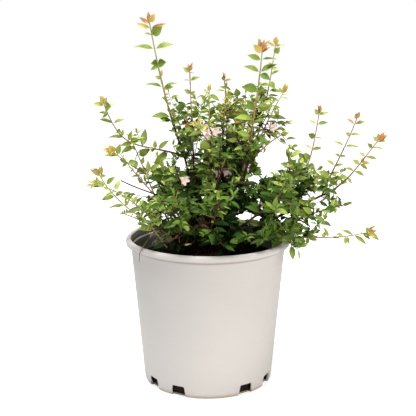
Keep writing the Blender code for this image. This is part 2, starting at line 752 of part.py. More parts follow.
def drop_scraps(mesh):
    """Keep the largest connected piece of a mesh."""
    shape = bmesh.new()
    shape.from_mesh(mesh)
    left = set(shape.verts)
    pieces = []
    while left:
        piece = set()
        border = [left.pop()]
        while border:
            vert = border.pop()
            piece.add(vert)
            for edge in vert.link_edges:
                other = edge.other_vert(vert)
                if other in left:
                    left.remove(other)
                    border.append(other)
        pieces.append(piece)
    pieces.sort(key=len, reverse=True)
    for scrap in pieces[1:]:
        bmesh.ops.delete(shape, geom=list(scrap), context="VERTS")
    shape.to_mesh(mesh)
    shape.free()


def fused(stem, pieces, solver):
    """The union of a stem with its pieces, as a new mesh."""
    basket = new_collection("pieces")
    for index, shape in enumerate(pieces):
        mesh = bpy.data.meshes.new(f"piece_{index}")
        shape.to_mesh(mesh)
        basket.objects.link(bpy.data.objects.new(f"piece_{index}", mesh))
    join = stem.modifiers.new("join", "BOOLEAN")
    join.operation = "UNION"
    join.operand_type = "COLLECTION"
    join.collection = basket
    join.solver = solver
    result = bpy.data.meshes.new_from_object(stem.evaluated_get(bpy.context.evaluated_depsgraph_get()))
    stem.modifiers.remove(join)
    for piece in list(basket.objects):
        mesh = piece.data
        bpy.data.objects.remove(piece, do_unlink=True)
        bpy.data.meshes.remove(mesh)
    bpy.data.collections.remove(basket)
    drop_scraps(result)
    return result


def fuse_mass(stem, pieces):
    """Fuse every piece to the stem, with fewer pieces where the whole does not close."""
    kept = list(pieces)
    while kept:
        for solver in ("EXACT", "MANIFOLD"):
            result = fused(stem, kept, solver)
            if is_one_solid(result):
                return result
            bpy.data.meshes.remove(result)
        kept = kept[:-1]
    return stem.data


def fork_direction(tangent, toward, fork):
    """The direction that leaves a limb's line by the fork angle, on the side that faces toward."""
    across = toward - toward.dot(tangent) * tangent
    angle = math.radians(fork)
    return math.cos(angle) * tangent + math.sin(angle) * across.normalized()


def side_offset(row):
    """How far from the middle of its limb a side shoot's cut end stands, to be clear of the bark."""
    angle = math.radians(row.fork)
    limb_radius = LIMB_FOOT_RADIUS + row.share * (LIMB_TIP_RADIUS - LIMB_FOOT_RADIUS)
    return (limb_radius + 1.5 * GAP + STEM_FOOT_RADIUS * math.cos(angle)) / math.sin(angle)


def shoot_path(row, limb_paths):
    """The path of a mass's stem or a dead twig, from its limb to its tip."""
    limb_path = limb_paths[row.limb]
    end = place(row.turn, row.reach, row.top)
    if row.share == 1:
        tip, tangent = along(limb_path, path_length(limb_path))
        start = tip + GAP * tangent
        start_direction = tangent
    else:
        point, tangent = along(limb_path, row.share * path_length(limb_path))
        start_direction = fork_direction(tangent, end - point, row.fork)
        start = point + side_offset(row) * start_direction
    return arch(start, start_direction, end, direction(row.turn, row.end_rise), row.sweep)


def limb_paths_from(crown_centre):
    paths = {}
    for limb in LIMBS:
        start_direction = direction(limb.foot_turn, limb.foot_rise)
        start = crown_centre + (CROWN_RADIUS + GAP) * start_direction
        end = place(limb.turn, limb.reach, limb.top)
        paths[limb.name] = arch(start, start_direction, end, direction(limb.turn, limb.end_rise))
    return paths


def make_limb(name, path, parent, material, foot_radius=LIMB_FOOT_RADIUS, tip_radius=LIMB_TIP_RADIUS):
    origin = path[0]
    points = [point - origin for point in spaced(path, path_length(path) / LIMB_POINTS)]
    curve = limb_curve(name, points, foot_radius, tip_radius)
    return add_part(name, curve, material, parent, origin - parent.location)


def mesh_of(part):
    """The part's evaluated mesh in world space."""
    bpy.context.view_layer.update()
    graph = bpy.context.evaluated_depsgraph_get()
    mesh = bpy.data.meshes.new_from_object(part.evaluated_get(graph))
    mesh.transform(part.matrix_world)
    return mesh


def make_shrub():
    crown_centre = Vector((CROWN_X, 0.0, SOIL_TOP + GAP))
    shrub = make_empty("shrub", crown_centre)
    neighbours = Neighbours()
    for part in (make_pot(), make_soil(), make_crown(shrub)):
        neighbours.add(part.name, mesh_of(part))
    limb_paths = limb_paths_from(crown_centre)
    for name, path in limb_paths.items():
        limb = make_limb(name, path, shrub, BARK)
        neighbours.add(name, mesh_of(limb))
    for row in DEAD_TWIGS:
        path = shoot_path(row, limb_paths)
        twig = make_limb(row.name, path, shrub, DEAD_WOOD, STEM_FOOT_RADIUS, STEM_TIP_RADIUS)
        neighbours.add(row.name, mesh_of(twig))
    make_masses(shrub, limb_paths, neighbours)


def make_masses(shrub, limb_paths, neighbours):
    outline = three_sided_outline()
    stems = {}
    for mass in MASSES:
        path = shoot_path(mass, limb_paths)
        mesh = twig_mesh(
            mass.name, spaced(path, STEM_POINT_EVERY), STEM_FOOT_RADIUS, STEM_TIP_RADIUS, outline,
        )
        stems[mass.name] = add_part(mass.name, mesh, LEAF)
        neighbours.axes[mass.name] = [path]
        neighbours.add(mass.name, mesh)
    for mass in MASSES:
        stem = stems[mass.name]
        shoot = Shoot(mass, neighbours.axes[mass.name][0], outline, neighbours)
        shoot.grow()
        result = fuse_mass(stem, shoot.pieces)
        for shape in shoot.pieces:
            neighbours.add_shape(mass.name, shape)
            shape.free()
        origin = shoot.path[0]
        result.transform(Matrix.Translation(-origin))
        result.name = mass.name
        result.materials.clear()
        result.materials.append(LEAF)
        stem.data = result
        stem.parent = shrub
        stem.location = origin - shrub.location


make_shrub()
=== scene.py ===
import json
import math
import random
from collections import namedtuple

import bpy
from mathutils import Matrix, Vector

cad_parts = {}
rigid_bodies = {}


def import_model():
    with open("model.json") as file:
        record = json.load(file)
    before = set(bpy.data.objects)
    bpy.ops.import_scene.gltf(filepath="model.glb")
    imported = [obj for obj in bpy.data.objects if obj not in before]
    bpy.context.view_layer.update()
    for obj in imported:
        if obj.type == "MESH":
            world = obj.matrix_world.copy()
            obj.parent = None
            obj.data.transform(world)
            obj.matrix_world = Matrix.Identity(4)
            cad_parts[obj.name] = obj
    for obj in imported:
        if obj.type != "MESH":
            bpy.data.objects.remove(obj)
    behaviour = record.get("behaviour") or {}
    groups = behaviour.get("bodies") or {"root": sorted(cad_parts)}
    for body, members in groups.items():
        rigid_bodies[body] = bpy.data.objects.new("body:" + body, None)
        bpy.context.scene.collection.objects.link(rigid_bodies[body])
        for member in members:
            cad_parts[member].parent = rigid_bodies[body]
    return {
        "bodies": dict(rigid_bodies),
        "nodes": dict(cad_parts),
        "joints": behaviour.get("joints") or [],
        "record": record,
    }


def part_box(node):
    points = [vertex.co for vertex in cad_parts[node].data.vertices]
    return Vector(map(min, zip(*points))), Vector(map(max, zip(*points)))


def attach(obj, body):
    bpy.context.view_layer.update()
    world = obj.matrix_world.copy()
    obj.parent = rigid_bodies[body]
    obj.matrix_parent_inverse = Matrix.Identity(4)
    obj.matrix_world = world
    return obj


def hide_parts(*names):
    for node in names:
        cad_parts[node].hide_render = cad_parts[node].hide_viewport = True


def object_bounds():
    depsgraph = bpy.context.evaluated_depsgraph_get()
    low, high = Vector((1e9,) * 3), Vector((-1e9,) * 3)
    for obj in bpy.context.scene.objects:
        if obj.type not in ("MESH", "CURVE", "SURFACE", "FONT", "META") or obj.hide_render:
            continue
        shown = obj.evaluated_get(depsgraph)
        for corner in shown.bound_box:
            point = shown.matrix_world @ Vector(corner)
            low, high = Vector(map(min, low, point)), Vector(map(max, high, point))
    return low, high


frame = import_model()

cad_low, cad_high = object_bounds()

# Studio
# A white floor and a white surround that shows brighter than it lights, with a large soft lamp in front on
# the right and one above.  The camera stands where the photograph was taken from, looking a little down.
CAMERA_DISTANCE = 1.484
CAMERA_HEIGHT = 0.621
CAMERA_PITCH = 12.46
CAMERA_LENS = 79.1
SURROUND_LIGHT = 0.235
FLOOR_RADIUS = 6.0
FLOOR_GLOW_NEAR = 0.62
FLOOR_GLOW_FAR = 1.0
FLOOR_BOUNCE = 0.42


def deselect_all():
    for chosen in list(bpy.context.selected_objects):
        chosen.select_set(False)


def start_on(piece):
    deselect_all()
    piece.select_set(True)
    bpy.context.view_layer.objects.active = piece


def new_material(name, colour, roughness, specular=0.5):
    material = bpy.data.materials.new(name)
    material.use_nodes = True
    shader = material.node_tree.nodes["Principled BSDF"]
    shader.inputs["Base Color"].default_value = (*colour, 1.0)
    shader.inputs["Roughness"].default_value = roughness
    shader.inputs["Specular IOR Level"].default_value = specular
    return material, material.node_tree, shader


def make_surround():
    """The camera sees plain white, and the plant is lit by less of it, so that the crown keeps its depth."""
    world = bpy.data.worlds.new("studio")
    world.use_nodes = True
    tree = world.node_tree
    seen = tree.nodes["Background"]
    seen.inputs["Color"].default_value = (1.0, 1.0, 1.0, 1.0)
    seen.inputs["Strength"].default_value = 1.0
    lighting = tree.nodes.new("ShaderNodeBackground")
    lighting.inputs["Color"].default_value = (0.89, 0.985, 1.12, 1.0)
    lighting.inputs["Strength"].default_value = SURROUND_LIGHT
    choose = tree.nodes.new("ShaderNodeMixShader")
    tree.links.new(tree.nodes.new("ShaderNodeLightPath").outputs["Is Camera Ray"], choose.inputs["Fac"])
    tree.links.new(lighting.outputs["Background"], choose.inputs[1])
    tree.links.new(seen.outputs["Background"], choose.inputs[2])
    tree.links.new(choose.outputs["Shader"], tree.nodes["World Output"].inputs["Surface"])
    bpy.context.scene.world = world


def make_floor():
    """A white floor that shows wholly white away from the pot and throws some light back up at it."""
    deselect_all()
    bpy.ops.mesh.primitive_circle_add(vertices=96, radius=FLOOR_RADIUS, fill_type="NGON", location=(0, 0, -0.0002))
    floor = bpy.context.object
    floor.name = "studio_floor"
    material, tree, shader = new_material("studio_floor", (0.93, 0.93, 0.93), 0.6, 0.1)
    shader.inputs["Emission Color"].default_value = (1.0, 1.0, 1.0, 1.0)
    away = tree.nodes.new("ShaderNodeVectorMath")
    away.operation = "LENGTH"
    tree.links.new(tree.nodes.new("ShaderNodeTexCoord").outputs["Object"], away.inputs[0])
    glow = tree.nodes.new("ShaderNodeMapRange")
    for label, value in (("From Min", 0.2), ("From Max", 0.8), ("To Min", FLOOR_GLOW_NEAR), ("To Max", FLOOR_GLOW_FAR)):
        glow.inputs[label].default_value = value
    tree.links.new(away.outputs["Value"], glow.inputs["Value"])
    seen = tree.nodes.new("ShaderNodeMath")
    seen.operation = "MULTIPLY"
    tree.links.new(glow.outputs["Result"], seen.inputs[0])
    share = tree.nodes.new("ShaderNodeMath")
    share.operation = "MAXIMUM"
    share.inputs[1].default_value = FLOOR_BOUNCE
    tree.links.new(tree.nodes.new("ShaderNodeLightPath").outputs["Is Camera Ray"], share.inputs[0])
    tree.links.new(share.outputs["Value"], seen.inputs[1])
    tree.links.new(seen.outputs["Value"], shader.inputs["Emission Strength"])
    floor.data.materials.append(material)


def soft_lamp(name, place, aim, size, power, colour):
    light = bpy.data.lights.new(name, "AREA")
    light.shape = "DISK"
    light.size = size
    light.energy = power
    light.color = colour
    lamp = bpy.data.objects.new(name, light)
    bpy.context.scene.collection.objects.link(lamp)
    lamp.location = place
    lamp.rotation_euler = (Vector(aim) - Vector(place)).to_track_quat("-Z", "Y").to_euler()


def make_camera():
    camera_data = bpy.data.cameras.new("camera")
    camera_data.lens = CAMERA_LENS
    camera = bpy.data.objects.new("camera", camera_data)
    bpy.context.scene.collection.objects.link(camera)
    camera.location = (0.0, -CAMERA_DISTANCE, CAMERA_HEIGHT)
    camera.rotation_euler = (math.radians(90.0 - CAMERA_PITCH), 0.0, 0.0)
    bpy.context.scene.camera = camera


bpy.context.scene.view_settings.view_transform = "Standard"
make_surround()
make_floor()
soft_lamp("lamp_front_right", (1.45, -1.6, 1.15), (0.0, 0.0, 0.25), 1.0, 25.5, (1.0, 0.945, 0.88))
soft_lamp("lamp_above", (-0.35, -0.2, 1.95), (0.0, 0.0, 0.35), 0.8, 47.0, (1.0, 1.0, 0.99))
make_camera()

# Pot
# An injection-moulded nursery pot of pale warm grey plastic: a tapered wall, a rolled rim with a ledge
# inside it, a rounded foot with a thin brown line round its bottom, and eight drain notches in four pairs.
POT_WALL = 0.0019
POT_FLOOR = 0.0025
POT_FOOT_RADIUS = 0.1055
POT_CORNER = 0.005
POT_SHOULDER_RADIUS = 0.129
POT_RIM_DEPTH = 0.011
POT_LEDGE_DROP = 0.015
POT_SIDES = 192
NOTCH_WIDTH = 0.0285
NOTCH_HEIGHT = 0.019
NOTCH_TAPER = 0.76
NOTCH_DEPTH = 0.024
NOTCH_INSET = 0.005
NOTCH_ROUNDING = 0.0022
NOTCH_PAIR_ANGLE = 29.0
NOTCH_TURN = -41.0
POT_COLOUR = (0.620, 0.582, 0.545)
POT_SCUFFED = (0.604, 0.566, 0.528)
# Painted shade: the wall is darkened steadily from its foot up to the rim, and most of all in a line under the rim.
WALL_TOP_PAINTED_SHADE = 0.87
RIM_SHADE = 0.94
FOOT_LINE = (0.50, 0.30, 0.15)
FOOT_LINE_HEIGHT = 0.0062
RIM_PAINTED_SHADE_LINE = (0.34, 0.29, 0.24)
RIM_LINE_FOOT = 0.2318
pot_low, pot_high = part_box("pot")
POT_HEIGHT = pot_high.z
POT_RIM_RADIUS = pot_high.x


def wall_radius(height):
    corner_radius = POT_FOOT_RADIUS + 0.6 * POT_CORNER
    shoulder = POT_HEIGHT - POT_RIM_DEPTH
    climb = (height - POT_CORNER) / (shoulder - POT_CORNER)
    return corner_radius + climb * (POT_SHOULDER_RADIUS - corner_radius)


def arc_rings(middle_radius, middle_height, bend_radius, start_angle, end_angle, steps):
    rings = []
    for step in range(steps + 1):
        angle = math.radians(start_angle + (end_angle - start_angle) * step / steps)
        rings.append((middle_radius + bend_radius * math.cos(angle), middle_height + bend_radius * math.sin(angle)))
    return rings


def turned_piece(name, rings, sides):
    """A disc drawn up ring by ring in edit mode; the last ring keeps the disc as its floor."""
    deselect_all()
    first_radius, first_height = rings[0]
    bpy.ops.mesh.primitive_circle_add(
        vertices=sides, radius=first_radius, fill_type="NGON", location=(0, 0, first_height),
    )
    piece = bpy.context.object
    piece.name = name
    bpy.ops.object.transform_apply(location=True, rotation=True, scale=True)
    bpy.ops.object.mode_set(mode="EDIT")
    for (radius, height), (next_radius, next_height) in zip(rings, rings[1:]):
        ratio = next_radius / radius
        bpy.ops.mesh.extrude_region_move(TRANSFORM_OT_translate={"value": (0, 0, next_height - height)})
        bpy.ops.transform.resize(value=(ratio, ratio, 1.0), center_override=(0, 0, next_height))
    bpy.ops.mesh.select_all(action="SELECT")
    bpy.ops.mesh.normals_make_consistent(inside=False)
    bpy.ops.object.mode_set(mode="OBJECT")
    return piece


def pot_rings():
    corner = arc_rings(
        wall_radius(POT_CORNER) - POT_CORNER, POT_CORNER, POT_CORNER, -90.0, 0.0, 5,
    )
    shoulder = POT_HEIGHT - POT_RIM_DEPTH
    ledge = POT_HEIGHT - POT_LEDGE_DROP
    wall = [(wall_radius(height), height) for height in (0.02, 0.05, 0.09, 0.13, 0.17, 0.205, 0.222, 0.2315)]
    lip = POT_RIM_RADIUS - POT_SHOULDER_RADIUS
    under = [(POT_SHOULDER_RADIUS + 0.05 * lip, shoulder - 0.0008), (POT_SHOULDER_RADIUS + 0.3 * lip, shoulder)]
    bead = arc_rings(POT_RIM_RADIUS - 0.0022, shoulder + 0.0024, 0.0022, -88.0, -4.0, 5)
    crest = arc_rings(POT_RIM_RADIUS - 0.0052, POT_HEIGHT - 0.0052, 0.0052, 2.0, 90.0, 7)
    inner = arc_rings(POT_SHOULDER_RADIUS + 0.0022, POT_HEIGHT - 0.0032, 0.0032, 90.0, 178.0, 5)
    inside = [
        (wall_radius(ledge) - POT_WALL + 0.0004, ledge + 0.0024),
        (wall_radius(ledge) - POT_WALL, ledge + 0.0009),
        (wall_radius(ledge) - POT_WALL - 0.0016, ledge - 0.0002),
        (wall_radius(ledge) - POT_WALL - 0.0019, ledge - 0.0014),
    ]
    down = [(wall_radius(height) - POT_WALL - 0.0002, height) for height in (0.222, 0.2, 0.15, 0.1, 0.05, 0.012)]
    floor = [(wall_radius(POT_FLOOR) - 2.4 * POT_WALL, POT_FLOOR)]
    return corner + wall + under + bead + crest + inner + inside + down + floor


def notch_block(turn):
    """One tapered block with rounded upper corners, standing through the foot of the wall."""
    deselect_all()
    bpy.ops.mesh.primitive_cube_add(size=1.0)
    block = bpy.context.object
    for corner in block.data.vertices:
        at_top = corner.co.z > 0.0
        width = NOTCH_WIDTH * (NOTCH_TAPER if at_top else 1.0)
        height = NOTCH_HEIGHT if at_top else -POT_CORNER
        corner.co = ((corner.co.x + 0.5) * NOTCH_DEPTH, corner.co.y * width, height)
    rounding = block.modifiers.new("round", "BEVEL")
    rounding.width = NOTCH_ROUNDING
    rounding.segments = 3
    start_on(block)
    bpy.ops.object.modifier_apply(modifier="round")
    angle = math.radians(turn)
    inner_edge = POT_FOOT_RADIUS - NOTCH_INSET
    place = Matrix.Translation((inner_edge * math.cos(angle), inner_edge * math.sin(angle), 0.0))
    block.data.transform(place @ Matrix.Rotation(angle, 4, "Z"))
    return block


def notch_blocks():
    """The eight blocks, joined, that cut the drain notches."""
    turns = [NOTCH_TURN + 90.0 * quarter + side * NOTCH_PAIR_ANGLE for quarter in range(4) for side in (-0.5, 0.5)]
    blocks = [notch_block(turn) for turn in turns]
    start_on(blocks[0])
    for block in blocks:
        block.select_set(True)
    bpy.ops.object.join()
    return bpy.context.object


def effect_group(name, inputs, output, kind):
    """An empty shader node group with named inputs and one named output, and its two ends."""
    group = bpy.data.node_groups.new(name, "ShaderNodeTree")
    group.interface.new_socket(name="Place", in_out="INPUT", socket_type="NodeSocketVector")
    for label, value in inputs:
        socket = group.interface.new_socket(name=label, in_out="INPUT", socket_type="NodeSocketFloat")
        socket.default_value = value
    group.interface.new_socket(name=output, in_out="OUTPUT", socket_type=kind)
    return group, group.nodes.new("NodeGroupInput"), group.nodes.new("NodeGroupOutput")


def noise_of_size(tree, place, size, detail, roughness):
    """A noise whose patches measure size, a socket in metres."""
    per_metre = tree.nodes.new("ShaderNodeMath")
    per_metre.operation = "DIVIDE"
    per_metre.inputs[0].default_value = 1.0
    tree.links.new(size, per_metre.inputs[1])
    noise = tree.nodes.new("ShaderNodeTexNoise")
    noise.inputs["Detail"].default_value = detail
    noise.inputs["Roughness"].default_value = roughness
    tree.links.new(per_metre.outputs["Value"], noise.inputs["Scale"])
    tree.links.new(place, noise.inputs["Vector"])
    return noise.outputs["Fac"]


def mottle_group():
    """Soft patches: a tint between Darkest and Lightest to multiply a colour by."""
    group, start, end = effect_group(
        "mottle", (("Size", 0.02), ("Darkest", 0.8), ("Lightest", 1.0)), "Tint", "NodeSocketFloat",
    )
    patches = noise_of_size(group, start.outputs["Place"], start.outputs["Size"], 2.0, 0.5)
    spread = group.nodes.new("ShaderNodeMapRange")
    spread.inputs["From Min"].default_value = 0.3
    spread.inputs["From Max"].default_value = 0.7
    group.links.new(patches, spread.inputs["Value"])
    group.links.new(start.outputs["Darkest"], spread.inputs["To Min"])
    group.links.new(start.outputs["Lightest"], spread.inputs["To Max"])
    group.links.new(spread.outputs["Result"], end.inputs["Tint"])
    return group


def grain_group():
    """Fine grain, drawn out along Z by Stretch: bark strips above 1, turned scuffs below 1, even at 1."""
    group, start, end = effect_group("grain", (("Size", 0.002), ("Stretch", 1.0)), "Height", "NodeSocketFloat")
    shrink = group.nodes.new("ShaderNodeMath")
    shrink.operation = "DIVIDE"
    shrink.inputs[0].default_value = 1.0
    group.links.new(start.outputs["Stretch"], shrink.inputs[1])
    scale = group.nodes.new("ShaderNodeCombineXYZ")
    scale.inputs["X"].default_value = 1.0
    scale.inputs["Y"].default_value = 1.0
    group.links.new(shrink.outputs["Value"], scale.inputs["Z"])
    drawn = group.nodes.new("ShaderNodeVectorMath")
    drawn.operation = "MULTIPLY"
    group.links.new(start.outputs["Place"], drawn.inputs[0])
    group.links.new(scale.outputs["Vector"], drawn.inputs[1])
    height = noise_of_size(group, drawn.outputs["Vector"], start.outputs["Size"], 5.0, 0.62)
    group.links.new(height, end.inputs["Height"])
    return group


mottle = mottle_group()
grain = grain_group()


def object_place(tree):
    return tree.nodes.new("ShaderNodeTexCoord").outputs["Object"]


def effect(tree, group, place, **values):
    """The output of an effect placed in a material with its own values."""
    node = tree.nodes.new("ShaderNodeGroup")
    node.node_tree = group
    tree.links.new(place, node.inputs["Place"])
    for label, value in values.items():
        node.inputs[label].default_value = value
    return node.outputs[0]


def ramp_from(tree, factor, stops):
    ramp = tree.nodes.new("ShaderNodeValToRGB")
    elements = ramp.color_ramp.elements
    while len(elements) < len(stops):
        elements.new(0.5)
    for element, (position, colour) in zip(elements, stops):
        element.position = position
        element.color = (*colour, 1.0)
    tree.links.new(factor, ramp.inputs["Fac"])
    return ramp.outputs["Color"]


def grey(value):
    return (value, value, value)


def mixed(tree, kind, factor, first, second):
    """A colour mix; factor, first and second are sockets or plain values."""
    mix = tree.nodes.new("ShaderNodeMix")
    mix.data_type = "RGBA"
    mix.blend_type = kind
    for socket, value in ((mix.inputs[0], factor), (mix.inputs[6], first), (mix.inputs[7], second)):
        if isinstance(value, bpy.types.NodeSocket):
            tree.links.new(value, socket)
        elif isinstance(value, tuple):
            socket.default_value = (*value, 1.0)
        else:
            socket.default_value = value
    return mix.outputs[2]


def relief(tree, shader, height, strength, distance):
    bump = tree.nodes.new("ShaderNodeBump")
    bump.inputs["Strength"].default_value = strength
    bump.inputs["Distance"].default_value = distance
    tree.links.new(height, bump.inputs["Height"])
    tree.links.new(bump.outputs["Normal"], shader.inputs["Normal"])


def pot_plastic():
    """Pale plastic with faint clouding and turned scuffs, a thin brown line round the foot, and painted shade up the
    wall and under the rim.
    """
    material, tree, shader = new_material("pot_plastic", POT_COLOUR, 0.7, 0.25)
    place = object_place(tree)
    scuffs = effect(tree, grain, place, Size=0.05, Stretch=0.11)
    colour = ramp_from(tree, scuffs, ((0.56, POT_COLOUR), (0.78, POT_SCUFFED)))
    clouding = effect(tree, mottle, place, Size=0.10, Darkest=0.965, Lightest=1.0)
    colour = mixed(tree, "MULTIPLY", 1.0, colour, clouding)
    height = tree.nodes.new("ShaderNodeSeparateXYZ")
    tree.links.new(place, height.inputs["Vector"])
    rim_line_top = POT_HEIGHT - POT_RIM_DEPTH
    # Bands by height: a thin brown line at the foot, painted shade darkening the wall up to the rim, and a line of
    # painted shade under the rim; the rim itself is darkened less.
    lines = ramp_from(tree, height.outputs["Z"], (
        (0.0, FOOT_LINE), (FOOT_LINE_HEIGHT, grey(1.0)), (RIM_LINE_FOOT, grey(WALL_TOP_PAINTED_SHADE)),
        (rim_line_top - 0.0008, RIM_PAINTED_SHADE_LINE), (rim_line_top + 0.0012, grey(RIM_SHADE)),
    ))
    colour = mixed(tree, "MULTIPLY", 1.0, colour, lines)
    tree.links.new(colour, shader.inputs["Base Color"])
    tree.links.new(ramp_from(tree, scuffs, ((0.35, grey(0.66)), (0.75, grey(0.80)))), shader.inputs["Roughness"])
    relief(tree, shader, effect(tree, grain, place, Size=0.0035, Stretch=1.0), 0.10, 0.0005)
    return material


def make_pot():
    pot = turned_piece("nursery_pot", pot_rings(), POT_SIDES)
    blocks = notch_blocks()
    cut = pot.modifiers.new("notches", "BOOLEAN")
    cut.operation = "DIFFERENCE"
    cut.solver = "EXACT"
    cut.object = blocks
    start_on(pot)
    bpy.ops.object.modifier_apply(modifier="notches")
    bpy.data.objects.remove(blocks, do_unlink=True)
    bpy.ops.object.shade_smooth_by_angle(angle=math.radians(32.0))
    pot.data.materials.clear()
    pot.data.materials.append(pot_plastic())
    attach(pot, "root")
    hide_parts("pot")


make_pot()

# Potting mix
# Dark moist peat and bark fines, settled to a few fingers below the rim, with coarse chips and a little
# pale grit on top.
SOIL_TOP = 0.212
SOIL_EDGE_DROP = 0.005
SOIL_RINGS = 26
CHIP_COUNT = 900
GRIT_COUNT = 70


def joined_mesh(name, verts, faces, material, smooth=True):
    mesh = bpy.data.meshes.new(name)
    mesh.from_pydata([tuple(v) for v in verts], [], faces)
    mesh.update()
    piece = bpy.data.objects.new(name, mesh)
    bpy.context.scene.collection.objects.link(piece)
    mesh.materials.append(material)
    if smooth:
        mesh.shade_smooth()
    return piece


def soil_height(x, y):
    reach = math.hypot(x, y)
    slope = SOIL_EDGE_DROP * max(0.0, reach - 0.045) / 0.080
    ripple = 0.0016 * math.sin(61.0 * x + 1.3) * math.cos(53.0 * y - 0.4)
    ripple += 0.0011 * math.sin(143.0 * x - 97.0 * y)
    return SOIL_TOP - slope + ripple - 0.0012


def potting_material(name, dark, middle, light):
    material, tree, shader = new_material(name, middle, 0.95, 0.2)
    place = object_place(tree)
    crumbs = effect(tree, grain, place, Size=0.0024, Stretch=1.0)
    colour = ramp_from(tree, crumbs, ((0.30, dark), (0.52, middle), (0.74, light)))
    lumps = effect(tree, mottle, place, Size=0.011, Darkest=0.55, Lightest=1.0)
    tree.links.new(mixed(tree, "MULTIPLY", 1.0, colour, lumps), shader.inputs["Base Color"])
    relief(tree, shader, crumbs, 0.9, 0.0022)
    return material


def chip_blocks(count, rng, size_range, lift):
    """Small irregular six-sided chips strewn on the mix."""
    verts = []
    faces = []
    for _ in range(count):
        reach = 0.121 * math.sqrt(rng.random())
        turn = rng.uniform(0.0, math.tau)
        x = reach * math.cos(turn)
        y = reach * math.sin(turn)
        size = rng.uniform(*size_range)
        spin = Matrix.Rotation(rng.uniform(0.0, math.tau), 4, "Z") @ Matrix.Rotation(rng.uniform(-0.6, 0.6), 4, "X")
        spin = Matrix.Translation((x, y, soil_height(x, y) + lift * size)) @ spin
        base = len(verts)
        for dz in (-0.5, 0.5):
            for dx, dy in ((-0.5, -0.3), (0.5, -0.3), (0.5, 0.3), (-0.5, 0.3)):
                jog = Vector((rng.uniform(-0.12, 0.12), rng.uniform(-0.1, 0.1), rng.uniform(-0.1, 0.1)))
                verts.append(spin @ ((Vector((dx, dy, 0.3 * dz)) + jog) * size))
        for quad in ((3, 2, 1, 0), (4, 5, 6, 7), (0, 1, 5, 4), (1, 2, 6, 5), (2, 3, 7, 6), (3, 0, 4, 7)):
            faces.append(tuple(base + corner for corner in quad))
    return verts, faces


def make_soil():
    top_radius = wall_radius(SOIL_TOP) - 0.0035
    rings = [(wall_radius(0.003) - 0.0075, 0.003), (wall_radius(0.016) - 0.0065, 0.016)]
    rings += [(wall_radius(height) - 0.0035, height) for height in (0.1, 0.2, SOIL_TOP - SOIL_EDGE_DROP)]
    rings += [(top_radius * (1.0 - step / SOIL_RINGS), SOIL_TOP) for step in range(1, SOIL_RINGS)]
    soil = turned_piece("mix_bed", rings, 144)
    for vert in soil.data.vertices:
        if vert.co.z > SOIL_TOP - 0.001:
            reach = math.hypot(vert.co.x, vert.co.y)
            vert.co.z = soil_height(vert.co.x, vert.co.y)
            vert.co.x += 0.0006 * math.sin(400.0 * reach)
    soil.data.shade_smooth()
    peat = potting_material("potting_mix", (0.004, 0.003, 0.002), (0.014, 0.009, 0.006), (0.055, 0.036, 0.022))
    gravel = potting_material("mix_grit", (0.14, 0.12, 0.10), (0.26, 0.22, 0.18), (0.38, 0.34, 0.29))
    soil.data.materials.clear()
    soil.data.materials.append(peat)
    rng = random.Random("mix")
    chips = joined_mesh("mix_chips", *chip_blocks(CHIP_COUNT, rng, (0.003, 0.009), 0.05), peat, False)
    grit = joined_mesh("mix_grit", *chip_blocks(GRIT_COUNT, rng, (0.0010, 0.0022), 0.3), gravel, False)
    for piece in (soil, chips, grit):
        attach(piece, "root")
        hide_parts("potting_mix")


make_soil()

# Woody crown and limbs
# The old wood: a low knotty crown on the mix, and limbs of thin shreddy brown bark that taper as they rise
# and arch out of it, with a slight swelling at every pair of old leaf scars.
CROWN_X = 0.004
CROWN_RADIUS = 0.022
LIMB_FOOT_RADIUS = 0.0032
LIMB_TIP_RADIUS = 0.0017
LIMB_FLARE = 0.0022
SCAR_SWELLING = 0.00035
HANDLE_SHARE = 0.36
PATH_STEPS = 40
BARK_SIDES = 14
BARK_RELIEF = 0.0007
CROWN_RELIEF = 0.0030

Limb = namedtuple("Limb", "name foot_turn foot_rise turn reach top end_rise")
LIMBS = (
    Limb("limb_tall_left", 172, 64, 180, 0.043, 0.392, 70),
    Limb("limb_top_left", 228, 64, 205, 0.016, 0.272, 82),
    Limb("limb_top_mid", 76, 64, 58, 0.040, 0.300, 78),
    Limb("limb_tall_right", 318, 52, 328, 0.075, 0.385, 82),
    Limb("limb_tall_back", 30, 60, 26, 0.050, 0.296, 66),
    Limb("limb_left_back", 155, 34, 154, 0.052, 0.262, 42),
    Limb("limb_left_mid", 201, 50, 195, 0.056, 0.318, 44),
    Limb("limb_left_low", 217, 30, 222, 0.062, 0.254, 26),
    Limb("limb_front_left", 243, 32, 246, 0.050, 0.254, 42),
    Limb("limb_front", 270, 32, 272, 0.048, 0.252, 44),
    Limb("limb_front_right", 297, 32, 304, 0.054, 0.252, 40),
    Limb("limb_right_low", 322, 30, 338, 0.070, 0.252, 6),
    Limb("limb_right_reach", 346, 34, 357, 0.195, 0.320, 26),
    Limb("limb_right_up", 12, 40, 8, 0.082, 0.278, 34),
    Limb("limb_back_right", 50, 32, 48, 0.060, 0.264, 42),
    Limb("limb_back", 88, 32, 88, 0.050, 0.260, 44),
    Limb("limb_back_left", 122, 32, 120, 0.052, 0.260, 44),
)


def direction(turn, rise):
    across = math.cos(math.radians(rise))
    return Vector((
        across * math.cos(math.radians(turn)),
        across * math.sin(math.radians(turn)),
        math.sin(math.radians(rise)),
    ))


def place_of(turn, reach, top):
    angle = math.radians(turn)
    return Vector((reach * math.cos(angle), reach * math.sin(angle), top))


def arch(start, start_direction, end, end_direction, sweep=HANDLE_SHARE):
    handle = sweep * (end - start).length
    first = start + handle * start_direction
    second = end - handle * end_direction
    points = []
    for step in range(PATH_STEPS + 1):
        t = step / PATH_STEPS
        u = 1.0 - t
        points.append(u**3 * start + 3 * u * u * t * first + 3 * u * t * t * second + t**3 * end)
    return points


def path_length(path):
    return sum((b - a).length for a, b in zip(path, path[1:]))


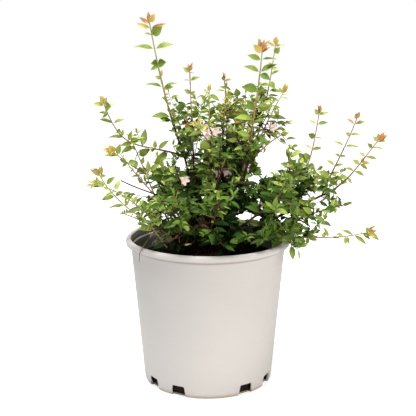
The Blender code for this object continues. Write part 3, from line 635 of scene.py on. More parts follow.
def along(path, distance):
    left = distance
    for a, b in zip(path, path[1:]):
        step = (b - a).length
        if left <= step:
            return a + (b - a) * (left / step), (b - a) / step
        left -= step
    return path[-1].copy(), (path[-1] - path[-2]).normalized()


def spaced(path, spacing):
    length = path_length(path)
    spans = max(2, round(length / spacing))
    return [along(path, length * index / spans)[0] for index in range(spans + 1)]


class Heap:
    """Vertices and faces of many like things, gathered into one mesh."""

    def __init__(self):
        self.verts = []
        self.faces = []

    def add(self, verts, faces):
        base = len(self.verts)
        self.verts.extend(verts)
        self.faces.extend([tuple(base + corner for corner in face) for face in faces])

    def piece(self, name, material, slot, nodes=()):
        made = joined_mesh(name, self.verts, self.faces, material)
        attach(made, "root")
        if nodes:
            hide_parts(*nodes)
        return made


def tube(points, radii, sides):
    """A tapering round tube closed at both ends."""
    verts = []
    side = None
    last = len(points) - 1
    for index, point in enumerate(points):
        ahead = points[min(index + 1, last)] - points[max(index - 1, 0)]
        ahead.normalize()
        if side is None:
            side = ahead.orthogonal().normalized()
        side = (side - side.dot(ahead) * ahead).normalized()
        other = ahead.cross(side)
        for step in range(sides):
            angle = math.tau * step / sides
            verts.append(point + radii[index] * (math.cos(angle) * side + math.sin(angle) * other))
    faces = []
    for ring in range(last):
        for step in range(sides):
            a = ring * sides + step
            b = ring * sides + (step + 1) % sides
            faces.append((a, b, b + sides, a + sides))
    faces.append(tuple(range(sides - 1, -1, -1)))
    faces.append(tuple(last * sides + step for step in range(sides)))
    return verts, faces


def tapered(path, spacing, foot, tip, sides):
    """A tube along a path that tapers evenly from foot to tip."""
    points = spaced(path, spacing)
    last = len(points) - 1
    return tube(points, [foot + (tip - foot) * index / last for index in range(last + 1)], sides)


def wood_material(name, dark, light, strip_size):
    """Thin bark in lengthwise strips, with lighter and darker blotches."""
    material, tree, shader = new_material(name, light, 0.8, 0.3)
    place = object_place(tree)
    strips = effect(tree, grain, place, Size=strip_size, Stretch=4.5)
    blotches = effect(tree, mottle, place, Size=0.016, Darkest=0.72, Lightest=1.06)
    colour = ramp_from(tree, strips, ((0.32, dark), (0.66, light)))
    tree.links.new(mixed(tree, "MULTIPLY", 1.0, colour, blotches), shader.inputs["Base Color"])
    relief(tree, shader, strips, 0.8, 0.0008)
    return material


def roughen(piece, patch, depth):
    """Real relief on a mesh, pushed in and out along its normals by clouds of a patch size."""
    clouds = bpy.data.textures.new(piece.name + "_relief", "CLOUDS")
    clouds.noise_scale = patch
    clouds.noise_depth = 3
    push = piece.modifiers.new("relief", "DISPLACE")
    push.texture = clouds
    push.texture_coords = "LOCAL"
    push.strength = depth
    push.mid_level = 0.5
    start_on(piece)
    bpy.ops.object.modifier_apply(modifier="relief")


crown_centre = Vector((CROWN_X, 0.0, SOIL_TOP + 0.0003))
limb_paths = {}
for limb in LIMBS:
    limb_start_direction = direction(limb.foot_turn, limb.foot_rise)
    limb_start = crown_centre + (CROWN_RADIUS + 0.0003) * limb_start_direction
    limb_end = place_of(limb.turn, limb.reach, limb.top)
    limb_paths[limb.name] = arch(
        limb_start, limb_start_direction, limb_end, direction(limb.turn, limb.end_rise),
    )


def limb_tube(path):
    """A limb from inside the crown to its tip, flared at its foot and swollen at its scars."""
    inner = path[0] - 0.010 * (path[1] - path[0]).normalized()
    points = [inner] + spaced(path, 0.0035)
    radii = []
    for index in range(len(points)):
        share = index / (len(points) - 1)
        radius = LIMB_FOOT_RADIUS + share * (LIMB_TIP_RADIUS - LIMB_FOOT_RADIUS)
        scar = SCAR_SWELLING if index % 7 == 3 else 0.0
        radii.append(radius + LIMB_FLARE * math.exp(-9.0 * share) + scar)
    return tube(points, radii, BARK_SIDES)


def crown_rings():
    rings = [(CROWN_RADIUS + 0.003, 0.0), (CROWN_RADIUS + 0.0027, 0.0012), (CROWN_RADIUS + 0.0008, 0.0034)]
    for rise in range(14, 90, 8):
        angle = math.radians(rise)
        rings.append((0.95 * CROWN_RADIUS * math.cos(angle), 0.95 * CROWN_RADIUS * math.sin(angle)))
    return rings


def make_old_wood():
    heap = Heap()
    for limb in LIMBS:
        heap.add(*limb_tube(limb_paths[limb.name]))
    bark = wood_material("bark", (0.030, 0.014, 0.008), (0.15, 0.078, 0.045), 0.0019)
    limbs = heap.piece("limbs_bark", bark, "bark", [limb.name for limb in LIMBS])
    roughen(limbs, 0.004, BARK_RELIEF)
    crown = turned_piece("woody_crown", crown_rings(), 72)
    crown.data.transform(Matrix.Translation(crown_centre))
    roughen(crown, 0.007, CROWN_RELIEF)
    for vert in crown.data.vertices:
        vert.co.z = max(vert.co.z, SOIL_TOP - 0.004)
    crown.data.shade_smooth()
    crown.data.materials.clear()
    crown.data.materials.append(bark)
    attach(crown, "root")
    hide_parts("root_crown")


make_old_wood()

# Shoots and twigs
# Each shoot grows on from its limb and carries a pair of short twigs at most of its lower nodes.  Old wood
# is brown, this year's wood red-brown or tan, and the last soft growth yellow-green.
Mass = namedtuple("Mass", "name limb share turn reach top fork end_rise sweep leaf node twigs tip")
MASSES = (
    Mass("mass_tall_left", "limb_tall_left", 1, 180, 0.093, 0.595, 0, 80, 0.36, 0.036, 0.027, 3, "bronze"),
    Mass("mass_left_arch", "limb_tall_left", 0.93, 190, 0.168, 0.468, 55, 70, 0.55, 0.031, 0.021, 2, "gold"),
    Mass("mass_top_left", "limb_top_left", 1, 146, 0.036, 0.517, 0, 87, 0.36, 0.027, 0.019, 17, "bronze"),
    Mass("mass_top_centre", "limb_top_left", 0.72, 272, 0.050, 0.491, 36, 84, 0.36, 0.025, 0.018, 15, "gold"),
    Mass("mass_top_mid", "limb_top_mid", 1, 62, 0.058, 0.501, 0, 104, 0.40, 0.026, 0.018, 19, "bronze"),
    Mass("mass_top_front", "limb_top_mid", 0.70, 332, 0.032, 0.478, 34, 86, 0.36, 0.025, 0.018, 21, "gold"),
    Mass("mass_tall_right", "limb_tall_right", 1, 330, 0.097, 0.553, 0, 85, 0.36, 0.037, 0.021, 5, "bronze"),
    Mass("mass_top_right", "limb_tall_right", 0.62, 9, 0.062, 0.481, 30, 88, 0.36, 0.026, 0.018, 14, "gold"),
    Mass("mass_thin_right", "limb_tall_right", 0.95, 342, 0.124, 0.421, 45, 28, 0.36, 0.022, 0.022, 3, "lime"),
    Mass("mass_tall_back", "limb_tall_back", 1, 28, 0.127, 0.558, 0, 82, 0.36, 0.028, 0.020, 15, "gold"),
    Mass("mass_back_spur", "limb_tall_back", 0.80, 17, 0.131, 0.481, 34, 56, 0.36, 0.027, 0.019, 17, "gold"),
    Mass("mass_left_mid", "limb_left_mid", 1, 200, 0.157, 0.394, 0, 42, 0.36, 0.026, 0.020, 3, "gold"),
    Mass("mass_left_fork", "limb_left_low", 0.86, 183, 0.126, 0.410, 28, 66, 0.44, 0.025, 0.020, 6, "lime"),
    Mass("mass_left_low", "limb_left_low", 1, 210, 0.193, 0.366, 0, 62, 0.36, 0.030, 0.020, 5, "bronze"),
    Mass("mass_left_spray", "limb_left_low", 0.58, 215, 0.214, 0.357, 22, 14, 0.36, 0.023, 0.030, 3, "gold"),
    Mass("mass_left_skirt", "limb_left_low", 0.34, 192, 0.140, 0.290, 30, 24, 0.36, 0.024, 0.017, 4, "lime"),
    Mass("mass_left_back", "limb_left_back", 1, 150, 0.178, 0.372, 0, 48, 0.36, 0.026, 0.020, 6, "gold"),
    Mass("mass_inner_left", "limb_left_back", 0.62, 176, 0.092, 0.352, 40, 66, 0.36, 0.022, 0.016, 7, "green"),
    Mass("mass_back_left", "limb_back_left", 1, 118, 0.200, 0.352, 0, 44, 0.36, 0.024, 0.018, 12, "gold"),
    Mass("mass_back_left_up", "limb_back_left", 0.66, 112, 0.100, 0.424, 40, 72, 0.36, 0.023, 0.018, 9, "bronze"),
    Mass("mass_back", "limb_back", 1, 92, 0.204, 0.362, 0, 40, 0.36, 0.024, 0.018, 13, "green"),
    Mass("mass_back_up", "limb_back", 0.66, 76, 0.112, 0.440, 40, 76, 0.36, 0.023, 0.018, 10, "gold"),
    Mass("mass_back_right", "limb_back_right", 1, 50, 0.204, 0.302, 0, 22, 0.36, 0.024, 0.018, 12, "bronze"),
    Mass("mass_back_right_up", "limb_back_right", 0.62, 58, 0.118, 0.380, 36, 64, 0.36, 0.022, 0.016, 9, "lime"),
    Mass("mass_right_up", "limb_right_up", 1, 6, 0.184, 0.449, 0, 82, 0.52, 0.027, 0.019, 15, "bronze"),
    Mass("mass_right_back", "limb_right_up", 0.74, 22, 0.206, 0.346, 34, 38, 0.36, 0.025, 0.018, 14, "lime"),
    Mass("mass_right_far", "limb_right_reach", 0.96, 0, 0.242, 0.442, 44, 72, 0.36, 0.025, 0.020, 4, "bronze"),
    Mass("mass_right_reach", "limb_right_reach", 1, 350, 0.274, 0.413, 0, 52, 0.32, 0.025, 0.018, 5, "bronze"),
    Mass("mass_right_inner", "limb_right_reach", 0.50, 356, 0.134, 0.380, 50, 84, 0.36, 0.025, 0.017, 25, "lime"),
    Mass("mass_right_mid", "limb_right_reach", 0.30, 344, 0.226, 0.312, 34, 14, 0.36, 0.025, 0.017, 22, "green"),
    Mass("mass_right_low", "limb_right_low", 1, 343, 0.266, 0.271, 0, 18, 0.36, 0.030, 0.019, 16, "gold"),
    Mass("mass_right_skirt", "limb_right_low", 0.62, 326, 0.158, 0.276, 38, 4, 0.36, 0.026, 0.016, 18, "green"),
    Mass("mass_front_right", "limb_front_right", 1, 312, 0.178, 0.352, 0, 46, 0.36, 0.026, 0.017, 14, "green"),
    Mass("mass_front_right_up", "limb_front_right", 0.66, 322, 0.098, 0.402, 40, 74, 0.36, 0.025, 0.017, 10, "green"),
    Mass("mass_front_right_low", "limb_front_right", 0.42, 316, 0.160, 0.264, 30, -4, 0.36, 0.027, 0.016, 10, "green"),
    Mass("mass_front", "limb_front", 1, 276, 0.158, 0.342, 0, 52, 0.36, 0.026, 0.017, 14, "green"),
    Mass("mass_front_up", "limb_front", 0.66, 284, 0.080, 0.410, 40, 76, 0.36, 0.025, 0.017, 10, "green"),
    Mass("mass_front_left", "limb_front_left", 1, 244, 0.160, 0.336, 0, 48, 0.36, 0.025, 0.017, 13, "green"),
    Mass("mass_front_left_up", "limb_front_left", 0.66, 232, 0.088, 0.388, 40, 72, 0.36, 0.025, 0.017, 10, "green"),
)
SOFT_LEADERS = ("mass_tall_left", "mass_tall_right")
CLEAN_SHOOTS = (
    "mass_left_arch", "mass_top_left", "mass_thin_right", "mass_left_low", "mass_left_spray",
    "mass_right_up", "mass_right_far", "mass_right_reach", "mass_right_low",
)
GREEN_SHOOTS = ("mass_left_low", "mass_left_spray", "mass_left_fork")
STEM_FOOT_RADIUS = 0.0016
STEM_TIP_RADIUS = 0.0009
LEADER_FOOT_RADIUS = 0.0020
TWIG_FOOT_RADIUS = 0.0009
TWIG_TIP_RADIUS = 0.00045
FIRST_NODE = 0.006
NODE_SPREAD = (0.82, 1.15)
SPACE_MARGIN = 0.012
TWIG_LEAF_MOST = 0.028
QUARTER_TURN = math.radians(90.0)
PHOTO_WIDTH = 416
SENSOR_WIDTH = 36.0
WOOD_COLOURS = {
    "brown": ((0.028, 0.013, 0.009), (0.12, 0.055, 0.034)),
    "red": ((0.13, 0.045, 0.028), (0.36, 0.15, 0.095)),
    "rust": ((0.040, 0.015, 0.008), (0.18, 0.078, 0.036)),
    "pink": ((0.34, 0.12, 0.085), (0.60, 0.27, 0.19)),
    "tan": ((0.30, 0.15, 0.05), (0.56, 0.34, 0.12)),
    "green": ((0.30, 0.29, 0.06), (0.52, 0.47, 0.14)),
}

# Places in the photograph, in its pixels, that leaves nearer than a depth keep clear of: sky or the dark mix
# shows through the crown there, or bare twigs do
Gap = namedtuple("Gap", "x y half_width half_height nearer_than", defaults=(1.0,))
GAPS = (
    Gap(273, 150, 8, 8),
    Gap(271, 163, 11, 6),
    Gap(254, 179, 5, 4),
    Gap(128, 184, 10, 6),
    Gap(140, 193, 5, 3),
    Gap(113, 170, 9, 9),
    Gap(318, 205, 4, 4),
    Gap(325, 203, 3, 3),
    Gap(349, 191, 11, 8),
    Gap(353, 212, 10, 7),
    Gap(338, 220, 8, 6),
    Gap(331, 150, 5, 9),
    Gap(159, 136, 13, 11),
    Gap(214, 97, 5, 6),
    Gap(186, 98, 4, 5),
    Gap(243, 96, 4, 4),
    Gap(246, 216, 6, 5),
    Gap(257, 218, 5, 4),
    Gap(253, 229, 7, 2),
    Gap(281, 215, 4, 3),
    Gap(165, 216, 4, 3),
    Gap(193, 153, 4, 6),
    Gap(183, 162, 4, 4),
    Gap(206, 250, 22, 4),
    Gap(250, 249, 20, 4),
    Gap(291, 103, 9, 15),
    Gap(242, 68, 8, 10),
    Gap(205, 222, 17, 6, -0.06),
    Gap(182, 238, 12, 6, -0.07),
    Gap(127, 181, 8, 3, 0.03),
    Gap(138, 186, 8, 3, 0.03),
    Gap(149, 192, 8, 3, 0.03),
    Gap(211, 69, 10, 8),
    Gap(310, 254, 11, 7),
    Gap(138, 239, 14, 9),
    Gap(168, 150, 6, 5),
    Gap(123, 226, 10, 12),
    Gap(282, 247, 9, 5),
    Gap(159, 237, 6, 12, -0.06),
    Gap(204, 197, 2, 2),
    Gap(214, 202, 2, 2),
    Gap(246, 192, 2, 3),
    Gap(186, 206, 2, 2),
    Gap(279, 203, 3, 2),
    Gap(237, 189, 2, 2),
    Gap(177, 216, 3, 2),
    Gap(272, 253, 6, 5),
    Gap(328, 249, 17, 9),
    Gap(321, 156, 5, 9),
    Gap(345, 218, 12, 8),
    Gap(218, 171, 8, 5, -0.045),
    Gap(231, 166, 8, 8, -0.045),
    Gap(322, 243, 12, 4),
    Gap(284, 257, 7, 6),
)


def photo_place(point):
    """Where a point of the plant falls in the photograph."""
    pitch = math.radians(CAMERA_PITCH)
    ahead = point.y + CAMERA_DISTANCE
    above = point.z - CAMERA_HEIGHT
    depth = ahead * math.cos(pitch) - above * math.sin(pitch)
    up = ahead * math.sin(pitch) + above * math.cos(pitch)
    focal = CAMERA_LENS / SENSOR_WIDTH * PHOTO_WIDTH
    return 0.5 * PHOTO_WIDTH + focal * point.x / depth, 0.5 * PHOTO_WIDTH - focal * up / depth


def in_gap(point):
    x, y = photo_place(point)
    for gap in GAPS:
        inside = ((x - gap.x) / gap.half_width) ** 2 + ((y - gap.y) / gap.half_height) ** 2 < 1.0
        if inside and point.y < gap.nearer_than:
            return True
    return False


def outward_from(tangent, angle):
    level = Vector((0.0, 0.0, 1.0)).cross(tangent)
    if level.length < 0.05:
        level = Vector((0.0, 1.0, 0.0))
    level.normalize()
    upper = tangent.cross(level)
    return math.cos(angle) * upper + math.sin(angle) * level


def fork_direction(tangent, toward, fork):
    across = toward - toward.dot(tangent) * tangent
    angle = math.radians(fork)
    return math.cos(angle) * tangent + math.sin(angle) * across.normalized()


def shoot_path(row):
    limb_path = limb_paths[row.limb]
    end = place_of(row.turn, row.reach, row.top)
    if row.share == 1:
        start, start_direction = along(limb_path, path_length(limb_path))
    else:
        start, tangent = along(limb_path, row.share * path_length(limb_path))
        start_direction = fork_direction(tangent, end - start, row.fork)
    return arch(start, start_direction, end, direction(row.turn, row.end_rise), row.sweep)


def clear_of_pot(point):
    reach = math.hypot(point.x, point.y)
    if reach < 0.124:
        return point.z > soil_height(point.x, point.y) + 0.002
    if reach < 0.141:
        return point.z > POT_HEIGHT + 0.002
    return point.z > POT_HEIGHT - 0.022


def within(point, low, high):
    return all(low[axis] <= point[axis] <= high[axis] for axis in range(3))


wood = {name: Heap() for name in WOOD_COLOURS}
shoot_paths = {mass.name: shoot_path(mass) for mass in MASSES}


def wood_along(path, foot, tip, shares, sides):
    """The tube of a shoot in two or three colours of wood that meet at its nodes."""
    total = path_length(path)
    start = 0.0
    for colour, end in shares:
        count = max(2, round((end - start) * total / 0.006))
        distances = [total * (start + (end - start) * step / count) for step in range(count + 1)]
        points = [along(path, distance)[0] for distance in distances]
        radii = [foot + (distance / total) * (tip - foot) for distance in distances]
        wood[colour].add(*tube(points, radii, sides))
        start = end


def wood_shares(mass):
    if mass.name in SOFT_LEADERS:
        return ("brown", 0.08), ("red", 0.22), ("tan", 0.55), ("green", 1.0)
    if mass.name in GREEN_SHOOTS:
        return ("brown", 0.30), ("green", 1.0)
    if mass.name in CLEAN_SHOOTS:
        return ("brown", 0.15), ("red", 0.4), ("pink", 1.0)
    if mass.tip == "bronze":
        return ("brown", 0.25), ("red", 0.93), ("tan", 1.0)
    if mass.tip == "green":
        return (("brown", 1.0),)
    return ("brown", 0.30), ("red", 0.75), ("green", 1.0)


for mass in MASSES:
    foot_radius = LEADER_FOOT_RADIUS if mass.name in SOFT_LEADERS else STEM_FOOT_RADIUS
    wood_along(shoot_paths[mass.name], foot_radius, STEM_TIP_RADIUS, wood_shares(mass), 7)

# Leaves
# Thin soft leaves in opposite pairs, each pair a quarter turn on from the last: held nearly level, folded a
# little along the midrib and drooping to a point.  Painted deep green inside the crown as shade, yellow-green
# towards the outside, and gold or bronze in the buds that end the shoots.
TONES = ("shade", "deep", "dark", "green", "fresh", "lime", "mid", "gold", "bronze")
# Shade, deep and dark are leaf greens painted darker as shade, for the leaves inside and low in the crown.
LEAF_COLOURS = {
    "shade": (0.005, 0.016, 0.002),
    "deep": (0.014, 0.046, 0.004),
    "dark": (0.055, 0.122, 0.011),
    "green": (0.135, 0.220, 0.024),
    "fresh": (0.26, 0.35, 0.050),
    "lime": (0.39, 0.45, 0.095),
    "mid": (0.21, 0.29, 0.038),
    "gold": (0.60, 0.43, 0.09),
    "bronze": (0.52, 0.25, 0.08),
}
LEAF_UNDERSIDE = (0.30, 0.37, 0.17)
# The tones painted darker as shade, which are given less shine.
PAINTED_SHADE_TONES = ("shade", "deep", "dark")
TIP_TONES = {
    "bronze": ("bronze", "gold", "lime"),
    "gold": ("gold", "lime", "fresh"),
    "green": ("green", "green", "dark"),
    "lime": ("lime", "lime", "fresh"),
}
LEAF_STATIONS = (0.0, 0.08, 0.18, 0.32, 0.50, 0.70, 0.87, 1.0)
LEAF_WIDTHS = (0.035, 0.045, 0.58, 0.93, 1.0, 0.74, 0.33, 0.0)
LEAF_ACROSS = (-1.0, -0.5, 0.0, 0.5, 1.0)
LEAF_SIZES = (0.72, 1.12)
LEAF_SLIMNESS = (0.32, 0.47)
LEAF_DROOP = (0.1, 1.0)
LEAF_FOLD = (0.06, 0.5)
LEAF_LEVELLING = 0.45
LEAF_FACES_UP = 1.3
LEAF_ROLL = 0.6
LEADER_ROLL = 0.95
YOUNG_SLIMNESS = (0.26, 0.36)
TWIG_REACHES = (0.024, 0.060)
TWIGLET_REACHES = (0.012, 0.024)
# The middle of the crown, and how far round it the leaves are painted darker as shade.
CORE_PLACE = Vector((0.040, 0.0, 0.26))
CORE_WIDTH = 0.155
CORE_DEPTH = 0.55
CORE_RISE = 0.17


def leaf_blade(length, width, droop, fold, wave, phase):
    """One leaf along +X, face up: a short stalk, a blade folded along its midrib, bent down to its tip."""
    rows = []
    x = 0.0
    z = 0.0
    previous = 0.0
    for station, spread in zip(LEAF_STATIONS, LEAF_WIDTHS):
        angle = 0.25 * droop - droop * station * station
        x += length * (station - previous) * math.cos(angle)
        z += length * (station - previous) * math.sin(angle)
        previous = station
        half = 0.5 * width * spread
        ripple = wave * length * math.sin(9.0 * station + phase)
        for across in LEAF_ACROSS:
            out = abs(across)
            y = across * half * math.cos(fold)
            lift = out * half * math.sin(fold) + ripple * out * out * spread * (1.0 if across > 0 else -0.7)
            rows.append(Vector((x, y, z + lift)))
    return rows[:-len(LEAF_ACROSS)] + [rows[-1 - len(LEAF_ACROSS) // 2]]


def leaf_faces():
    wide = len(LEAF_ACROSS)
    rows = len(LEAF_STATIONS) - 1
    faces = []
    for row in range(rows - 1):
        for column in range(wide - 1):
            a = row * wide + column
            faces.append((a, a + wide, a + wide + 1, a + 1))
    tip = rows * wide
    for column in range(wide - 1):
        a = (rows - 1) * wide + column
        faces.append((a, tip, a + 1))
    return faces


def frame_at(point, outward, face_up):
    forward = outward.normalized()
    side = face_up.cross(forward).normalized()
    up = forward.cross(side)
    made = Matrix((forward, side, up)).transposed().to_4x4()
    made.translation = point
    return made


leaf_pattern = leaf_faces()
leaves = {tone: Heap() for tone in TONES}

# Blossom places, wanted here because leaves keep out of the way of the bells
Bloom = namedtuple("Bloom", "mass share count")
BLOOMS = (
    Bloom("mass_top_centre", 0.75, 3),
    Bloom("mass_top_front", 0.40, 2),
    Bloom("mass_back_spur", 0.73, 1),
    Bloom("mass_top_right", 0.32, 1),
    Bloom("mass_front_left_up", 0.79, 1),
)
BLOOM_CLEARANCE = 0.009


def bloom_place(bloom):
    path = shoot_paths[bloom.mass]
    return along(path, bloom.share * path_length(path))


bloom_places = [bloom_place(bloom)[0] + Vector((0.0, -0.010, 0.0)) for bloom in BLOOMS]


def hides_bloom(point):
    """True for a place close to a bell, or between it and the front."""
    for place in bloom_places:
        off = point - place
        if off.y < BLOOM_CLEARANCE and math.hypot(off.x, off.z) < BLOOM_CLEARANCE:
            return True
    return False


class Growth:
    """The twigs and leaves of one shoot or limb, dealt into the heaps of wood and leaves."""

    def __init__(self, name, low, high, leaf, node, roll=LEAF_ROLL):
        self.random = random.Random(name)
        self.low = low
        self.high = high
        self.leaf_length = leaf
        self.node = node
        self.roll = roll

    def inside(self, point):
        return (
            within(point, self.low, self.high) and within(point, cad_low, cad_high)
            and clear_of_pot(point) and not in_gap(point) and not hides_bloom(point)
        )

    def tone_at(self, point, youth):
        """The tone of a leaf: painted darker as shade towards the middle of the crown, and lighter on young wood."""
        off = point - CORE_PLACE
        out = math.sqrt((off.x / CORE_WIDTH) ** 2 + (off.y / CORE_DEPTH) ** 2 + (max(0.0, off.z) / CORE_RISE) ** 2)
        level = 0.6 + 3.5 * min(out, 1.0) + 0.9 * youth * out + self.random.gauss(0.0, 0.9)
        return TONES[max(0, min(5, int(level)))]

    def leaf(self, point, tangent, angle, tilt, length, tone, levelling, slimness):
        rng = self.random
        side = outward_from(tangent, angle)
        outward = math.cos(tilt) * side + math.sin(tilt) * tangent
        outward.z *= levelling
        outward.normalize()
        face = math.cos(tilt) * tangent - math.sin(tilt) * side + Vector((0.0, 0.0, LEAF_FACES_UP))
        if face.cross(outward).length < 0.1:
            face = tangent
        if not self.inside(point + length * outward) or not self.inside(point + 0.5 * length * outward):
            return
        frame = frame_at(point, outward, face) @ Matrix.Rotation(rng.gauss(0.0, self.roll), 4, "X")
        blade = leaf_blade(
            length, length * rng.uniform(*slimness), rng.uniform(*LEAF_DROOP),
            rng.uniform(*LEAF_FOLD), rng.uniform(0.0, 0.022), rng.uniform(0.0, 6.0),
        )
        leaves[tone].add([frame @ vert for vert in blade], leaf_pattern)

    def pair(self, path, distance, angle, tilt, length, tone, levelling=LEAF_LEVELLING, slimness=LEAF_SLIMNESS):
        rng = self.random
        point, tangent = along(path, distance)
        for side in (0.0, math.pi):
            self.leaf(
                point, tangent, angle + side + rng.uniform(-0.35, 0.35), tilt + rng.gauss(0.0, 0.16),
                length * rng.uniform(*LEAF_SIZES), tone, levelling, slimness,
            )

    def bud(self, path, length, tones, whole=True):
        """The last four pairs, closing up round the growing tip, or only the two inmost of them."""
        total = path_length(path)
        turn = self.random.uniform(0.0, math.pi)
        self.pair(path, total - 0.0006, turn, 1.32, 0.58 * length, tones[0], 1.0, YOUNG_SLIMNESS)
        self.pair(path, total - 0.0022, turn + QUARTER_TURN, 1.0, 0.62 * length, tones[0], 1.0, YOUNG_SLIMNESS)
        if not whole:
            return
        self.pair(path, total - 0.2 * self.node, turn, 0.35, 0.76 * length, tones[1], 0.8)
        self.pair(path, total - 0.7 * self.node, turn + QUARTER_TURN, 0.2, 0.96 * length, tones[-1])

    def twig(self, path, distance, angle, youth, reaches, tip_tones, forks=True):
        """A side twig with its own pairs of leaves, forked once where it is long; False where it has no room."""
        rng = self.random
        point, tangent = along(path, distance)
        side = outward_from(tangent, angle)
        start_direction = (0.8 * side + 0.6 * tangent).normalized()
        end_direction = (start_direction + Vector((0.0, 0.0, rng.uniform(0.0, 0.8)))).normalized()
        reach = rng.uniform(*reaches)
        end = point + reach * (start_direction + end_direction).normalized()
        if not self.inside(end) or in_gap(point.lerp(end, 0.5)):
            return False
        self.leafy(arch(point, start_direction, end, end_direction), angle, youth, tip_tones, forks)
        return True

    def leafy(self, own_path, angle, youth, tip_tones, forks):
        """The wood, pairs of leaves and bud of a twig along its own path."""
        rng = self.random
        colours = (("red", 0.6), ("green", 1.0))
        if youth < 0.35:
            colours = (("brown", 1.0),)
        foot = TWIG_FOOT_RADIUS if forks else 0.7 * TWIG_FOOT_RADIUS
        wood_along(own_path, foot, TWIG_TIP_RADIUS, colours, 5)
        length = rng.uniform(0.74, 0.94) * self.leaf_length
        total = path_length(own_path)
        turn = angle
        place = 0.5 * self.node
        while place < total - 0.35 * self.node:
            turn += QUARTER_TURN
            spot = along(own_path, place)[0]
            if forks and rng.random() < 0.5:
                self.twig(own_path, place, turn + rng.choice((0.0, math.pi)), youth, TWIGLET_REACHES, tip_tones, False)
            self.pair(own_path, place, turn, 0.25, length, self.tone_at(spot, youth))
            place += 0.72 * self.node * rng.uniform(*NODE_SPREAD)
        if rng.random() < 0.10 + 0.5 * youth and youth >= 0.0:
            self.bud(own_path, length, tip_tones)
        else:
            tone = self.tone_at(own_path[-1], youth + 0.3)
            self.bud(own_path, length, (tone, tone, tone))


# How much of the outer end of a shoot carries the leaves set one by one further down, and none of its own
SET_LENGTHS = {
    "mass_tall_left": 0.166, "mass_tall_right": 0.142, "mass_tall_back": 0.096, "mass_back_spur": 0.008,
    "mass_thin_right": 0.012, "mass_top_left": 0.070, "mass_top_centre": 0.040, "mass_top_mid": 0.028,
    "mass_right_up": 0.088, "mass_right_far": 0.108, "mass_right_reach": 0.106, "mass_right_low": 0.084,
    "mass_right_inner": 0.018, "mass_right_mid": 0.022, "mass_left_arch": 0.084, "mass_left_mid": 0.036,
    "mass_left_fork": 0.052, "mass_left_low": 0.074,
}
# How far up some shoots carry twigs, where it isn't as far as on others of their kind
BUSHY_TO = {"mass_top_left": 0.72, "mass_right_low": 0.55}


def grow_shoot(mass):
    """Pairs of leaves and twigs all the way up a shoot, and its bud."""
    low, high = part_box(mass.name)
    margin = Vector((SPACE_MARGIN, SPACE_MARGIN, SPACE_MARGIN))
    leader = mass.name in SOFT_LEADERS
    bushy_to = BUSHY_TO.get(mass.name, 0.2 if leader else 0.5 if mass.name in CLEAN_SHOOTS else 0.9)
    single = leader or mass.name in CLEAN_SHOOTS
    roll = LEADER_ROLL if single else LEAF_ROLL
    growth = Growth(mass.name, Vector(low) - margin, Vector(high) + margin, mass.leaf, mass.node, roll)
    rng = growth.random
    path = shoot_paths[mass.name]
    total = path_length(path)
    tip_tones = TIP_TONES[mass.tip]
    twig_tones = TIP_TONES["green"] if single else tip_tones
    growth.leaf_length = min(mass.leaf, TWIG_LEAF_MOST)
    angle = 0.0 if leader else rng.uniform(0.0, math.pi)
    distance = FIRST_NODE
    twigs = 0
    while distance < total - max(1.2 * mass.node, SET_LENGTHS.get(mass.name, 0.0)):
        share = distance / total
        point = along(path, distance)[0]
        twig_youth = max(0.0, 1.6 * share - 0.6)
        youth = 0.4 + 0.6 * share if single else twig_youth
        size = mass.leaf * ((1.2 if leader else 1.08) - 0.1 * share)
        for side in (0.0, math.pi):
            wanted = twigs < mass.twigs and share < bushy_to and rng.random() < 0.75
            if wanted and growth.twig(path, distance, angle + side, twig_youth, TWIG_REACHES, twig_tones):
                twigs += 1
        if rng.random() < 0.4:
            growth.pair(path, distance + 0.001, angle + 0.3, 0.8, 0.38 * size, growth.tone_at(point, youth + 0.5))
        growth.pair(path, distance, angle, 0.12 + 0.25 * share, size, growth.tone_at(point, youth))
        angle += QUARTER_TURN
        distance += mass.node * rng.uniform(*NODE_SPREAD) * (1.0 - 0.25 * share)
    growth.bud(path, mass.leaf, tip_tones, mass.name not in SET_LENGTHS)


LIMB_LEAF = 0.023
LIMB_NODE = 0.018
LIMB_ROOM = Vector((0.030, 0.030, 0.030))
LIMB_TWIGS_FROM = 0.30


def grow_limb(limb):
    """Short twigs on the upper part of a limb, which fill the middle of the crown, their leaves painted mostly in the
    dark tones as shade.
    """
    low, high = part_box(limb.name)
    growth = Growth(limb.name, Vector(low) - LIMB_ROOM, Vector(high) + LIMB_ROOM, LIMB_LEAF, LIMB_NODE)
    rng = growth.random
    path = limb_paths[limb.name]
    total = path_length(path)
    angle = rng.uniform(0.0, math.pi)
    distance = LIMB_TWIGS_FROM * total
    while distance < total:
        for side in (0.0, math.pi):
            if rng.random() < 0.55:
                growth.twig(path, distance, angle + side, -2.0, TWIG_REACHES, ("deep", "deep", "deep"))
        angle += QUARTER_TURN
        distance += LIMB_NODE * rng.uniform(*NODE_SPREAD)


def leaf_material(name, colour):
    """Soft matt leaf with faint patches, paler underneath."""
    # Leaves in the tones painted as shade get less shine.
    shine = 0.10 if name in PAINTED_SHADE_TONES else 0.22
    material, tree, shader = new_material("leaf_" + name, colour, 0.5, shine)
    place = object_place(tree)
    patches = effect(tree, mottle, place, Size=0.014, Darkest=0.78, Lightest=1.16)
    upper = mixed(tree, "MULTIPLY", 1.0, colour, patches)
    under = mixed(tree, "MIX", 0.22, upper, LEAF_UNDERSIDE)
    backfacing = tree.nodes.new("ShaderNodeNewGeometry").outputs["Backfacing"]
    tree.links.new(mixed(tree, "MIX", backfacing, upper, under), shader.inputs["Base Color"])
    tree.links.new(ramp_from(tree, patches, ((0.8, grey(0.44)), (1.0, grey(0.60)))), shader.inputs["Roughness"])
    relief(tree, shader, effect(tree, grain, place, Size=0.0016, Stretch=1.0), 0.12, 0.0005)
    return material


